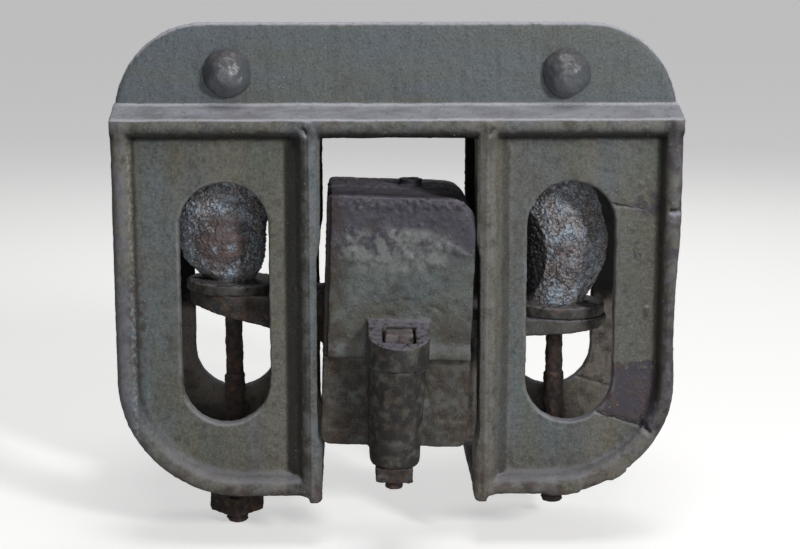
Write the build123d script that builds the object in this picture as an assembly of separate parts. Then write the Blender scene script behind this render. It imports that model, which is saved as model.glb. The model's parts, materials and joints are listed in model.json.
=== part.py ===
"""Axle guard of a horse-drawn tramway car, with its axlebox and its two rubber springs.

X runs along the car, Y from the outside of the car inwards, Z upwards. The origin lies midway between
the two sill bolts, on the face of the guard that meets the timber sill. Levels are given as drops below
that bolt line, and depths as distances in front of the sill face (towards -Y) or behind it.
"""

import os
from math import radians, sin, tan

from build123d import *

# Flange that is bolted to the sill
FLANGE_WIDTH = 430.0
FLANGE_THICK = 12.0
FLANGE_RISE = 38.5  # bolt line to the top edge
FLANGE_CORNER_R = 70.0
FLANGE_EDGE_R = 3.5

# Sill bolts
SILL_THICK = 90.0
SILL_BOLT_PITCH = 258.0
SILL_BOLT_R = 9.5
SILL_HOLE_CLEARANCE = 1.6
SILL_HEAD_R = 18.5
SILL_HEAD_HIGH = 17.0
SILL_THREAD_R = 8.6
SILL_THREAD_LONG = 34.0
SILL_WASHER_R = 26.0
SILL_WASHER_THICK = 5.0
SILL_NUT_ACROSS = 34.0
SILL_NUT_THICK = 18.0
SILL_BOLT_TAIL = 6.0
THREAD_CLEARANCE = 0.1
BOLT_END_CHAMFER = 1.5

# Square nuts
NUT_CORNER_R = 1.5
NUT_TOP_HALF = 0.5  # half the nut's top circle, as a share of its width
NUT_FOOT_HALF = 0.78
NUT_CONE_HIGH = 2.2  # share of the nut's thickness

# Shelf under the sill, and the guard's front panel with the bead round it
GUARD_WIDTH = 432.0
SHELF_DROP = 33.0  # bolt line to the shelf's front edge
SHELF_SLOPE_RISE = 9.5  # the sloping band's rise from its front edge to the flange
BEAD_FRONT = 40.0  # sill face to the crest of the bead
BEAD_WIDTH = 15.0
BEAD_EDGE_R = 7.0
SHELF_BEAD_HIGH = 13.5
SHELF_EDGE_R = 2.0
SHELF_UNDER_R = 6.0
PANEL_FRONT = 28.0  # sill face to the panel's front
PANEL_THICK = 11.0
COVE_R = 6.2
GUARD_BOTTOM_DROP = 326.5
GUARD_CORNER_R = 95.0

# Horns, between which the axlebox slides
HORN_GAP = 119.0
HORN_FOOT_DROP = 332.0
HORN_FOOT_R = 4.0
HORN_GUIDE_WIDTH = 10.0
HORN_EDGE_R = 4.0
HORN_CREST_PROUD = 1.0
HORN_CREST_WIDE = 3.0
HORN_COVE_WIDE = 16.0  # the hollow slope from a horn's crest to the panel
HORN_GUIDE_BACK = -8.0  # the front guides reach this far behind the panel, as a Y place
HORN_WEAR = 3.0
HORN_WEAR_TOP_DROP = 125.0
HORN_WEAR_BOTTOM_DROP = 290.0
HORN_WEAR_RAMP = 14.0

# Slots through the front and back plates
SLOT_WIDTH = 68.0
SLOT_HEIGHT = 189.0
SLOT_SIDE = 49.0  # the guard's end to the slot's edge
SLOT_TOP_DROP = 81.0
SLOT_EDGE_R = 1.5

# Seat plate under the sill, back plate and bottom walls
SEAT_DROP = 36.0
SEAT_THICK = 12.0
BACK_FRONT = 91.0  # sill face to the back plate's front
BACK_THICK = 10.0
BACK_GUIDE_FRONT = 82.0
FLOOR_THICK = 10.0
FLOOR_RISE = 25.0  # how far the bottom walls climb round the corners

# Guide rods through the springs
ROD_INSET = {"left": 2.0, "right": 4.0}  # rod's axis to the slot's centre line
ROD_R = 6.9
ROD_FOOT_R = 8.2
ROD_FOOT_DROP = 245.0
ROD_HEAD_R = 14.0
ROD_HEAD_HIGH = 6.0
ROD_CLEARANCE = 0.3
ROD_SWING = 2.5
ROD_TAIL = 9.0
ROD_WASHER_R = 20.0
ROD_WASHER_THICK = 4.0
ROD_NUT_ACROSS = 32.0
ROD_NUT_THICK = 15.0
ROD_BOSS_R = 24.0
ROD_BOSS_HIGH = 2.0
ROD_NUT_TURNS = (12.0, 43.0)  # how far round each nut stopped, in degrees
ROD_LOCKNUTS = {"left": 1, "right": 0}

# Rubber springs and their seats
RUBBER_BULGE_R = 35.5
RUBBER_BORE_R = 8.5
# Each ring of a spring: share of its height from the top, share of the bulge's radius, and share of the
# bulge's radius by which it leans outwards. The left one is torn away round its foot.
RUBBER_RINGS = {
    "left": (
        (0.0, 0.76, 0.04),
        (0.25, 0.94, 0.13),
        (0.5, 1.0, 0.2),
        (0.7, 0.985, 0.22),
        (0.84, 0.9, 0.18),
        (0.92, 0.74, 0.1),
        (1.0, 0.5, 0.03),
    ),
    "right": (
        (0.0, 0.66, -0.02),
        (0.25, 0.74, 0.0),
        (0.42, 0.93, 0.1),
        (0.6, 1.0, 0.19),
        (0.75, 0.97, 0.15),
        (0.86, 0.86, 0.08),
        (1.0, 0.66, 0.0),
    ),
}
RUBBER_FOOT_SPARE = 2.0
CUP_R = 34.0
CUP_HIGH = 5.0
LOWER_SEAT_THICK = {"left": 8.0, "right": 9.5}
LOWER_SEAT_R = {"left": 37.0, "right": 40.0}
LOWER_SEAT_EDGE_R = 2.0

# Axlebox, cocked about the journal by the worn horns
AXLEBOX_TILT = 2.0
JOURNAL_DROP = 180.0
JOURNAL_R = 30.0
JOURNAL_CLEARANCE = 0.05
BOX_HALF = 57.0
BOX_TOP_DROP = 92.0
BOX_FRONT = 33.0
BOX_BACK = 86.0
BOX_ROUND_RIGHT = 20.0
BOX_ROUND_LEFT = 4.0
SPLIT_DROP = 216.8
COVER_HALF = 55.0
COVER_ASIDE = 1.5  # the raised front lies this far to the right
COVER_ROUND_RIGHT = 27.0
COVER_PROUD = 7.0
COVER_LIP_PROUD = 3.5
COVER_LIP_HIGH = 9.0
COVER_LIP_SLOPE_HIGH = 4.0
COVER_LIP_EDGE = 3.0
COVER_LIP_FOOT = 1.5
KEEP_BOTTOM_DROP = 287.0
KEEP_CORNER_R = 8.0
KEEP_WALL = 14.0
KEEP_FLOOR = 12.0

# Bearing inside the axlebox
BRASS_THICK = 10.0
BRASS_FRONT = -16.0
BRASS_BACK = 70.0
SHIELD_HALF = 44.0
SHIELD_HIGH = 76.0
SHIELD_THICK = 8.0
SHIELD_HOLE_R = 33.0
SHIELD_CORNER_R = 18.0
SHIELD_GAP = 4.0
SHIELD_CLEARANCE = 0.3

# Arms that carry the springs
ARM_TOP_DROP = {"left": 179.0, "right": 190.0}
ARM_PAD_R = {"left": 34.0, "right": 42.0}
ARM_TIP_THICK = {"left": 10.0, "right": 7.5}
ARM_ROOT_SLOPE = {"left": 13.0, "right": 5.0}
ARM_ROOT_HALF = 36.0
ARM_ROOT_DEEP = 5.0  # how far the arm is let into the box's side
ARM_HOLE_R = 11.0

# Keep bolt and its lugs on the front
LUG_OUT = 62.0  # sill face to the bolt's axis
LUG_TOP_R = 23.5
LUG_BOTTOM_R = 22.0
LUG_TAPER = 2.4
LUG_TOP_SLOPE = 16.0
LUG_TOP_HIGH = 31.3  # split to the lug's top where it meets the front
LUG_BOTTOM_DROP = 293.0
LUG_BOTTOM_EDGE_R = 5.0
KEEP_BOLT_R = 6.5
KEEP_BOLT_CLEARANCE = 0.4
KEEP_POCKET = 25.0
KEEP_POCKET_DEEP = 12.0
KEEP_HEAD_ACROSS = 21.0
KEEP_HEAD_THICK = 14.0
KEEP_NUT_ACROSS = 28.0
KEEP_NUT_THICK = 11.0
KEEP_BOLT_TAIL = 8.0

# Oil filler on top of the axlebox
FILLER_X = 9.0
FILLER_Y = 45.0
FILLER_R = 9.0
FILLER_HIGH = 5.0
FILLER_HOLE_R = 4.0
FILLER_DEEP = 12.0

SIDES = {"left": -1, "right": 1}
STANDING = (Align.CENTER, Align.CENTER, Align.MIN)
HANGING = (Align.CENTER, Align.CENTER, Align.MAX)
BACK_BACK = BACK_FRONT + BACK_THICK
ROD_Y = (BACK_FRONT - PANEL_FRONT + PANEL_THICK) / 2
SLOT_REACH = GUARD_WIDTH / 2 - SLOT_SIDE - SLOT_WIDTH / 2
ROD_REACH = {name: SLOT_REACH - inset for name, inset in ROD_INSET.items()}
LUG_TOP_BACK_DROP = SPLIT_DROP - LUG_TOP_HIGH
POCKET_FLOOR_DROP = (
    LUG_TOP_BACK_DROP + (LUG_OUT - BOX_FRONT - COVER_PROUD) * tan(radians(LUG_TOP_SLOPE)) + KEEP_POCKET_DEEP
)
CUT_PAST = 1.0  # how far a cutting shape runs past the face that it opens
NEAR = 1.0  # an edge whose middle is this near a line is taken to lie on it
SHELF_NEAR = 3.0  # edges this near the shelf's front edge are left to the joint with the shelf
JOIN = 2.0  # how far joined walls run into each other
SEAT_UNDER_DROP = SEAT_DROP + SEAT_THICK
FLOOR_TOP_DROP = GUARD_BOTTOM_DROP - FLOOR_THICK


def slab(sketch, back, front):
    """Extrudes a sketch drawn in X and Z from one Y place forwards to another."""
    return extrude(Plane.XZ.offset(-back) * sketch, amount=back - front)


def bar(profile, half_width):
    """Extrudes a profile drawn in Y and Z evenly to both sides of the centre line."""
    return extrude(Plane.YZ * profile, amount=half_width, both=True)


def column(radius, x, y, top, bottom):
    """A plain round upright between two levels."""
    return Pos(x, y, (top + bottom) / 2) * Cylinder(radius, top - bottom)


def edges_at_depth(solid, depth):
    """The edges that lie wholly at one Y place."""
    found = solid.edges().filter_by(lambda e: abs(e.bounding_box().min.Y - depth) < 0.01)
    return found.filter_by(lambda e: abs(e.bounding_box().max.Y - depth) < 0.01)


def below_shelf(edges):
    """The edges that lie clear below the shelf's front edge."""
    return edges.filter_by(lambda e: e.center().Z < -SHELF_DROP - SHELF_NEAR)


def half_outline(inner, outer, top, bottom, corner):
    """One half of the guard right of the centre, with a quarter round at its lower outer corner."""
    lines = [
        Line((inner, top), (outer, top)),
        Line((outer, top), (outer, bottom + corner)),
        CenterArc((outer - corner, bottom + corner), corner, 0, -90),
        Line((outer - corner, bottom), (inner, bottom)),
        Line((inner, bottom), (inner, top)),
    ]
    return make_face(lines)


def slot_sketch(side):
    """The stadium-shaped opening in one half of a plate."""
    middle = -SLOT_TOP_DROP - SLOT_HEIGHT / 2
    return Pos(side * SLOT_REACH, middle) * SlotOverall(SLOT_HEIGHT, SLOT_WIDTH, rotation=90)


def horn_outline(foot_drop, foot_r):
    """The long bar of one horn, right of the centre, its foot rounded towards the mouth."""
    top = -SHELF_DROP - JOIN
    middle = (top - foot_drop) / 2
    bar_face = Pos(HORN_GAP / 2 + HORN_GUIDE_WIDTH / 2, middle) * Rectangle(HORN_GUIDE_WIDTH, top + foot_drop)
    return fillet(bar_face.vertices().group_by(Axis.Y)[0].sort_by(Axis.X)[0], foot_r)


def front_half():
    """Right half of the front plate: the panel, its bead and the deep guide down its horn."""
    inner, outer = HORN_GAP / 2 + HORN_GUIDE_WIDTH / 2, GUARD_WIDTH / 2
    outline = half_outline(inner, outer, -SHELF_DROP - JOIN, -GUARD_BOTTOM_DROP, GUARD_CORNER_R)
    recess = half_outline(
        inner - CUT_PAST, outer - BEAD_WIDTH, 0, -GUARD_BOTTOM_DROP + BEAD_WIDTH, GUARD_CORNER_R - BEAD_WIDTH
    )
    plate = slab(outline, -PANEL_FRONT + PANEL_THICK, -BEAD_FRONT)
    plate -= slab(recess, -PANEL_FRONT, -BEAD_FRONT - CUT_PAST)
    crest = below_shelf(edges_at_depth(plate, -BEAD_FRONT))
    crest = crest.filter_by(lambda e: e.center().X > inner + NEAR)
    plate = fillet(crest, BEAD_EDGE_R)
    horn = slab(horn_outline(HORN_FOOT_DROP, HORN_FOOT_R), HORN_GUIDE_BACK, -BEAD_FRONT)
    mouth = below_shelf(edges_at_depth(horn, -BEAD_FRONT))
    mouth = mouth.filter_by(lambda e: e.center().X < inner + NEAR)
    plate += fillet(mouth, HORN_EDGE_R)
    cove = below_shelf(edges_at_depth(plate, -PANEL_FRONT))
    cove = cove.filter_by(lambda e: e.center().Z > -GUARD_BOTTOM_DROP + NEAR)
    return fillet(cove, COVE_R) + horn_cove()


def horn_cove():
    """The crest beside a horn's front and the hollow slope from it to the panel, right of the centre."""
    ridge, crest = HORN_GAP / 2 + HORN_GUIDE_WIDTH, -BEAD_FRONT - HORN_CREST_PROUD
    brow, foot = ridge + HORN_CREST_WIDE, ridge + HORN_CREST_WIDE + HORN_COVE_WIDE
    rise = -PANEL_FRONT - crest
    outline = [
        Line((ridge - JOIN, -PANEL_FRONT + JOIN), (ridge - JOIN, -BEAD_FRONT + JOIN)),
        Line((ridge - JOIN, -BEAD_FRONT + JOIN), (ridge, crest)),
        Line((ridge, crest), (brow, crest + HORN_CREST_PROUD)),
        Bezier(
            (brow, crest + HORN_CREST_PROUD),
            (brow + HORN_COVE_WIDE * 0.3, crest + rise * 0.4),
            (brow + HORN_COVE_WIDE * 0.4, -PANEL_FRONT),
            (foot, -PANEL_FRONT),
        ),
        Line((foot, -PANEL_FRONT), (foot, -PANEL_FRONT + JOIN)),
        Line((foot, -PANEL_FRONT + JOIN), (ridge - JOIN, -PANEL_FRONT + JOIN)),
    ]
    profile = Pos(0, 0, -GUARD_BOTTOM_DROP) * make_face(outline)
    return extrude(profile, amount=GUARD_BOTTOM_DROP - SHELF_DROP - SHELF_EDGE_R, dir=(0, 0, 1))


def shelf():
    """The thick shelf under the sill, with its sloping band and its front bead."""
    profile = make_face(
        Polyline(
            (0, -SHELF_DROP + SHELF_SLOPE_RISE),
            (-FLANGE_THICK, -SHELF_DROP + SHELF_SLOPE_RISE),
            (-BEAD_FRONT, -SHELF_DROP),
            (-BEAD_FRONT, -SHELF_DROP - SHELF_BEAD_HIGH),
            (-PANEL_FRONT, -SHELF_DROP - SHELF_BEAD_HIGH),
            (-PANEL_FRONT, -SEAT_UNDER_DROP),
            (0, -SEAT_UNDER_DROP),
            close=True,
        )
    )
    body = bar(profile, GUARD_WIDTH / 2)
    under, top = edges_at_depth(body, -BEAD_FRONT).filter_by(Axis.X).sort_by(Axis.Z)
    body = fillet(top, SHELF_EDGE_R)
    under = edges_at_depth(body, -BEAD_FRONT).filter_by(Axis.X).sort_by(Axis.Z)[0]
    return fillet(under, SHELF_UNDER_R)


def flange():
    """The flange on the sill's face, its two upper corners rounded off."""
    tall = FLANGE_RISE + SHELF_DROP
    face = Pos(0, FLANGE_RISE - tall / 2) * Rectangle(FLANGE_WIDTH, tall)
    face = fillet(face.vertices().filter_by(lambda v: v.Y > 0), FLANGE_CORNER_R)
    plate = slab(face, 0, -FLANGE_THICK)
    rim = edges_at_depth(plate, -FLANGE_THICK).filter_by(lambda e: e.center().Z > -SHELF_DROP + NEAR)
    return fillet(rim, FLANGE_EDGE_R)


def back_half():
    """Right half of the back plate, with its guide, and the bottom wall that ties it to the front."""
    outline = half_outline(
        HORN_GAP / 2, GUARD_WIDTH / 2, -SEAT_DROP - JOIN, -GUARD_BOTTOM_DROP, GUARD_CORNER_R
    )
    plate = slab(outline, BACK_BACK, BACK_FRONT)
    guide = Pos(HORN_GAP / 2 + HORN_GUIDE_WIDTH / 2, -(SEAT_DROP + JOIN + GUARD_BOTTOM_DROP) / 2) * Rectangle(
        HORN_GUIDE_WIDTH, GUARD_BOTTOM_DROP - SEAT_DROP - JOIN
    )
    plate += slab(guide, BACK_BACK, BACK_GUIDE_FRONT)
    inside = half_outline(
        HORN_GAP / 2 - CUT_PAST,
        GUARD_WIDTH / 2 - FLOOR_THICK,
        -SEAT_DROP,
        -GUARD_BOTTOM_DROP + FLOOR_THICK,
        GUARD_CORNER_R - FLOOR_THICK,
    )
    keep_low = Pos(GUARD_WIDTH / 2, -GUARD_BOTTOM_DROP) * Rectangle(GUARD_WIDTH, 2 * FLOOR_RISE)
    wall = (outline - inside) & keep_low
    return plate + slab(wall, BACK_FRONT + JOIN, -PANEL_FRONT + PANEL_THICK - JOIN)


def pedestal():
    """The whole guard casting."""
    half = front_half() + back_half()
    body = shelf() + flange() + half + mirror(half, about=Plane.YZ)
    seat = Pos(0, BACK_BACK / 2, -SEAT_DROP - SEAT_THICK / 2) * Box(GUARD_WIDTH, BACK_BACK, SEAT_THICK)
    body += seat
    for name, side in SIDES.items():
        rod_x = side * ROD_REACH[name]
        cup = column(CUP_R, rod_x, ROD_Y, -SEAT_UNDER_DROP, -SEAT_UNDER_DROP - CUP_HIGH)
        boss = column(ROD_BOSS_R, rod_x, ROD_Y, -FLOOR_TOP_DROP + ROD_BOSS_HIGH, -GUARD_BOTTOM_DROP)
        body += [cup, boss]
        body -= slab(slot_sketch(side), BACK_BACK + CUT_PAST, -BEAD_FRONT - CUT_PAST)
        body -= column(ROD_R + ROD_CLEARANCE, rod_x, ROD_Y, 0, -SLOT_TOP_DROP)
        body -= column(ROD_FOOT_R + ROD_CLEARANCE, rod_x, ROD_Y, -ROD_FOOT_DROP, -HORN_FOOT_DROP)
        sink = Cone(ROD_R + ROD_CLEARANCE, ROD_HEAD_R, ROD_HEAD_HIGH)
        body -= Pos(rod_x, ROD_Y, -SEAT_DROP - ROD_HEAD_HIGH / 2) * sink
        hole = Pos(side * SILL_BOLT_PITCH / 2, -FLANGE_THICK / 2, 0) * Rot(90, 0, 0)
        body -= hole * Cylinder(SILL_BOLT_R + SILL_HOLE_CLEARANCE, FLANGE_THICK + 2 * CUT_PAST)
        body -= horn_wear(side)
    return round_slots(body)


def round_slots(body):
    """Takes the sharp edge off the slots' rims, on the panel's front and on the back plate's front."""
    for depth in (-PANEL_FRONT, BACK_FRONT):
        rims = edges_at_depth(body, depth).filter_by(lambda e: on_slot_rim(e.center()))
        body = fillet(rims, SLOT_EDGE_R)
    return body


def on_slot_rim(place):
    """Whether a place lies within a slot's outline or on its rim, seen from the front."""
    across = abs(abs(place.X) - SLOT_REACH) <= SLOT_WIDTH / 2 + ROD_CLEARANCE
    return across and -SLOT_TOP_DROP - SLOT_HEIGHT - CUT_PAST < place.Z < -SLOT_TOP_DROP + CUT_PAST


def horn_wear(side):
    """The stretch of one horn's rubbing face that the axlebox has worn hollow."""
    face = side * HORN_GAP / 2
    deep = face + side * HORN_WEAR
    outline = make_face(
        Polyline(
            (face - side, -HORN_WEAR_TOP_DROP),
            (face, -HORN_WEAR_TOP_DROP),
            (deep, -HORN_WEAR_TOP_DROP - HORN_WEAR_RAMP),
            (deep, -HORN_WEAR_BOTTOM_DROP + HORN_WEAR_RAMP),
            (face, -HORN_WEAR_BOTTOM_DROP),
            (face - side, -HORN_WEAR_BOTTOM_DROP),
            close=True,
        )
    )
    return slab(outline, BACK_BACK + CUT_PAST, -BEAD_FRONT - CUT_PAST)


def nut(across, thick, hole_r):
    """A square nut with its corners turned off on one face, lying flat with its foot at the origin."""
    block = extrude(RectangleRounded(across, across, NUT_CORNER_R), amount=thick)
    turned = Cone(across * NUT_FOOT_HALF, across * NUT_TOP_HALF, thick * NUT_CONE_HIGH, align=STANDING)
    block &= turned
    return block - Cylinder(hole_r, thick * 3)


def washer(radius, thick, hole_r):
    """A plain round washer with its foot at the origin."""
    ring = Cylinder(radius, thick, align=STANDING)
    return ring - Cylinder(hole_r, thick * 3)


def along_sill(x, y):
    """Puts a piece that stands on the origin onto a sill bolt, pointing inwards."""
    return Pos(x, y, 0) * Rot(-90, 0, 0)


def sill_bolts():
    """The domed bolts through the sill, with the washers and nuts on its inner face."""
    pieces = {}
    tip = SILL_THICK + SILL_WASHER_THICK + SILL_NUT_THICK + SILL_BOLT_TAIL
    for name, side in SIDES.items():
        x = side * SILL_BOLT_PITCH / 2
        sphere_r = (SILL_HEAD_R**2 + SILL_HEAD_HIGH**2) / (2 * SILL_HEAD_HIGH)
        dome = Pos(0, 0, -FLANGE_THICK + sphere_r - SILL_HEAD_HIGH) * Sphere(sphere_r)
        dome &= Pos(0, 0, -FLANGE_THICK) * Cylinder(
            sphere_r * 2, SILL_HEAD_HIGH * 2, align=HANGING
        )
        plain = tip - SILL_THREAD_LONG
        shank = Pos(0, 0, -FLANGE_THICK) * Cylinder(
            SILL_BOLT_R, plain + FLANGE_THICK, align=STANDING
        )
        thread = Pos(0, 0, plain) * Cylinder(
            SILL_THREAD_R, SILL_THREAD_LONG, align=STANDING
        )
        thread = chamfer(thread.edges().group_by(Axis.Z)[-1], BOLT_END_CHAMFER)
        pieces[f"sill_bolt_{name}"] = along_sill(x, 0) * (dome + shank + thread)
        ring = washer(SILL_WASHER_R, SILL_WASHER_THICK, SILL_BOLT_R + SILL_HOLE_CLEARANCE)
        pieces[f"sill_washer_{name}"] = along_sill(x, SILL_THICK) * ring
        grip = nut(SILL_NUT_ACROSS, SILL_NUT_THICK, SILL_THREAD_R + THREAD_CLEARANCE)
        pieces[f"sill_nut_{name}"] = along_sill(x, SILL_THICK + SILL_WASHER_THICK) * grip
    return pieces


def guide_rods():
    """The rods through the springs, riveted flush in the seat plate and nutted under the bottom walls."""
    pieces = {}
    for name, side in SIDES.items():
        x = side * ROD_REACH[name]
        nuts = 1 + ROD_LOCKNUTS[name]
        tail = GUARD_BOTTOM_DROP + ROD_WASHER_THICK + nuts * ROD_NUT_THICK + ROD_TAIL
        head = Cone(ROD_R, ROD_HEAD_R - ROD_CLEARANCE, ROD_HEAD_HIGH)
        head = Pos(x, ROD_Y, -SEAT_DROP - ROD_HEAD_HIGH / 2) * head
        rod = column(ROD_R, x, ROD_Y, -SEAT_DROP - JOIN, -ROD_FOOT_DROP)
        foot = column(ROD_FOOT_R, x, ROD_Y, -ROD_FOOT_DROP, -tail)
        foot = chamfer(foot.edges().group_by(Axis.Z)[0], BOLT_END_CHAMFER)
        foot = chamfer(foot.edges().group_by(Axis.Z)[-1], ROD_FOOT_R - ROD_R - THREAD_CLEARANCE)
        pieces[f"guide_rod_{name}"] = head + rod + foot
        under = -GUARD_BOTTOM_DROP
        ring = Pos(x, ROD_Y, under) * Rot(180, 0, 0) * washer(
            ROD_WASHER_R, ROD_WASHER_THICK, ROD_FOOT_R + ROD_CLEARANCE
        )
        pieces[f"rod_washer_{name}"] = ring
        for i in range(nuts):
            foot_z = under - ROD_WASHER_THICK - i * ROD_NUT_THICK
            turned = Rot(180, 0, ROD_NUT_TURNS[i])
            grip = nut(ROD_NUT_ACROSS, ROD_NUT_THICK, ROD_FOOT_R + THREAD_CLEARANCE)
            grip = Pos(x, ROD_Y, foot_z) * turned * grip
            pieces[f"rod_nut_{name}" if i == 0 else f"rod_locknut_{name}"] = grip
    return pieces


def tilt(piece):
    """Cocks a piece about the journal's axis, its right side down."""
    at = Pos(0, 0, -JOURNAL_DROP)
    return at * Rot(0, AXLEBOX_TILT, 0) * at.inverse() * piece


def springs():
    """The rubber springs, upright and leaning outwards, and the cocked plates on the arms that carry them."""
    pieces = {}
    for name, side in SIDES.items():
        x = side * ROD_REACH[name]
        seat_top = -ARM_TOP_DROP[name] + LOWER_SEAT_THICK[name]
        plate = Pos(x, ROD_Y, seat_top) * Cylinder(LOWER_SEAT_R[name], LOWER_SEAT_THICK[name], align=HANGING)
        plate = fillet(plate.edges().group_by(Axis.Z)[-1], LOWER_SEAT_EDGE_R)
        plate -= column(ROD_R + ROD_SWING, x, ROD_Y, 0, -GUARD_BOTTOM_DROP)
        pieces[f"spring_seat_{name}"] = tilt(plate)
        top = -SEAT_UNDER_DROP - CUP_HIGH
        bottom = seat_top - sin(radians(AXLEBOX_TILT)) * x - RUBBER_FOOT_SPARE
        rings = []
        for share, radius, lean in RUBBER_RINGS[name]:
            centre = Pos(x + side * lean * RUBBER_BULGE_R, ROD_Y, top + share * (bottom - top))
            rings.append(centre * Circle(radius * RUBBER_BULGE_R))
        rubber = loft(rings) - column(RUBBER_BORE_R, x, ROD_Y, 0, -GUARD_BOTTOM_DROP)
        under = Pos(x, ROD_Y, seat_top) * Box(3 * RUBBER_BULGE_R, 3 * RUBBER_BULGE_R, abs(x), align=HANGING)
        pieces[f"rubber_spring_{name}"] = rubber - tilt(under)
    return pieces


def lug_plan(radius, back):
    """The lug seen from above: a round front running back into the box."""
    round_front = Pos(0, -LUG_OUT) * Circle(radius)
    return round_front + Pos(0, -(LUG_OUT - back) / 2 - back) * Rectangle(2 * radius, LUG_OUT - back)


def arm(name, side):
    """One spring arm, thick at the box and round at its end."""
    root, pad_r, top = BOX_HALF - ARM_ROOT_DEEP, ARM_PAD_R[name], -ARM_TOP_DROP[name]
    reach = ROD_REACH[name]
    end = reach + pad_r + CUT_PAST
    web = make_face(
        Polyline(
            (root, ROD_Y - ARM_ROOT_HALF),
            (reach, ROD_Y - pad_r),
            (reach, ROD_Y + pad_r),
            (root, ROD_Y + ARM_ROOT_HALF),
            close=True,
        )
    )
    plan = Pos(reach, ROD_Y) * Circle(pad_r) + web
    root_bottom = top - ARM_TIP_THICK[name] - (end - root) * tan(radians(ARM_ROOT_SLOPE[name]))
    side_view = make_face(
        Polyline(
            (root - CUT_PAST, top),
            (end, top),
            (end, top - ARM_TIP_THICK[name]),
            (root - CUT_PAST, root_bottom),
            close=True,
        )
    )
    block = extrude(Pos(0, 0, root_bottom - CUT_PAST) * plan, amount=top - root_bottom + 2 * CUT_PAST)
    block &= slab(side_view, BACK_FRONT, -PANEL_FRONT)
    block -= column(ARM_HOLE_R, reach, ROD_Y, 0, -GUARD_BOTTOM_DROP)
    return block if side > 0 else mirror(block, about=Plane.YZ)


def cover_lip():
    """The rounded lip along the foot of the box's raised front."""
    crest = -BOX_FRONT - COVER_PROUD
    lip = make_face(
        Polyline(
            (-BOX_FRONT, -SPLIT_DROP + COVER_LIP_HIGH + COVER_LIP_SLOPE_HIGH),
            (crest, -SPLIT_DROP + COVER_LIP_HIGH + COVER_LIP_SLOPE_HIGH),
            (crest - COVER_LIP_PROUD, -SPLIT_DROP + COVER_LIP_HIGH - COVER_LIP_EDGE),
            (crest - COVER_LIP_PROUD, -SPLIT_DROP + COVER_LIP_FOOT),
            (crest, -SPLIT_DROP),
            (-BOX_FRONT, -SPLIT_DROP),
            close=True,
        )
    )
    return Pos(COVER_ASIDE, 0, 0) * bar(lip, COVER_HALF)


def upper_lug():
    """The lug on the box's front, its top sloping down from the raised front."""
    lug = extrude(Pos(0, 0, -SPLIT_DROP) * lug_plan(LUG_TOP_R, BOX_FRONT), amount=SPLIT_DROP - BOX_TOP_DROP)
    slope = tan(radians(LUG_TOP_SLOPE))
    front = BOX_FRONT + COVER_PROUD
    reach = LUG_OUT + LUG_TOP_R + CUT_PAST
    above = make_face(
        Polyline(
            (0, -LUG_TOP_BACK_DROP + front * slope),
            (-reach, -LUG_TOP_BACK_DROP - (reach - front) * slope),
            (-reach, 0),
            (0, 0),
            close=True,
        )
    )
    return lug - bar(above, LUG_TOP_R + CUT_PAST)


def axlebox():
    """The upper casting of the axlebox: box, raised front, spring arms, upper lug and oil filler."""
    high = SPLIT_DROP - BOX_TOP_DROP
    outline = Pos(0, -BOX_TOP_DROP - high / 2) * Rectangle(2 * BOX_HALF, high)
    corners = outline.vertices().group_by(Axis.Y)[-1].sort_by(Axis.X)
    outline = fillet(corners[0], BOX_ROUND_LEFT)
    outline = fillet(outline.vertices().sort_by(Axis.Y)[-3:].sort_by(Axis.X)[-1], BOX_ROUND_RIGHT)
    body = slab(outline, BOX_BACK, -BOX_FRONT)
    face = Pos(COVER_ASIDE, -BOX_TOP_DROP - high / 2) * Rectangle(2 * COVER_HALF, high)
    corner = face.vertices().group_by(Axis.Y)[-1].sort_by(Axis.X)[-1]
    face = fillet(corner, COVER_ROUND_RIGHT)
    body += slab(face, -BOX_FRONT, -BOX_FRONT - COVER_PROUD)
    body += [cover_lip(), upper_lug()]
    for name, side in SIDES.items():
        body += arm(name, side)
    body += column(FILLER_R, FILLER_X, FILLER_Y, -BOX_TOP_DROP + FILLER_HIGH, -BOX_TOP_DROP - JOIN)
    body -= column(FILLER_HOLE_R, FILLER_X, FILLER_Y, 0, -BOX_TOP_DROP - FILLER_DEEP)
    brass_r = JOURNAL_R + JOURNAL_CLEARANCE + BRASS_THICK
    open_foot = SPLIT_DROP + CUT_PAST
    cavity = Pos(0, -JOURNAL_DROP) * Circle(brass_r)
    cavity += Pos(0, -(JOURNAL_DROP + open_foot) / 2) * Rectangle(2 * brass_r, open_foot - JOURNAL_DROP)
    body -= slab(cavity, BOX_BACK + CUT_PAST, BRASS_FRONT)
    body -= slab(shield_outline(SHIELD_CLEARANCE), BOX_BACK + CUT_PAST, BRASS_BACK + SHIELD_GAP)
    pocket = Box(KEEP_POCKET, KEEP_POCKET, POCKET_FLOOR_DROP, align=STANDING)
    body -= Pos(0, -LUG_OUT, -POCKET_FLOOR_DROP) * pocket
    return body - column(KEEP_BOLT_R + KEEP_BOLT_CLEARANCE, 0, -LUG_OUT, 0, -LUG_BOTTOM_DROP)


def shield_outline(margin):
    """The dust shield's plate: a rounded top over straight sides that stand on the keep."""
    high = SHIELD_HIGH + margin
    face = Pos(0, -SPLIT_DROP + high / 2) * Rectangle(2 * (SHIELD_HALF + margin), high)
    return fillet(face.vertices().group_by(Axis.Y)[-1], SHIELD_CORNER_R)


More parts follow.
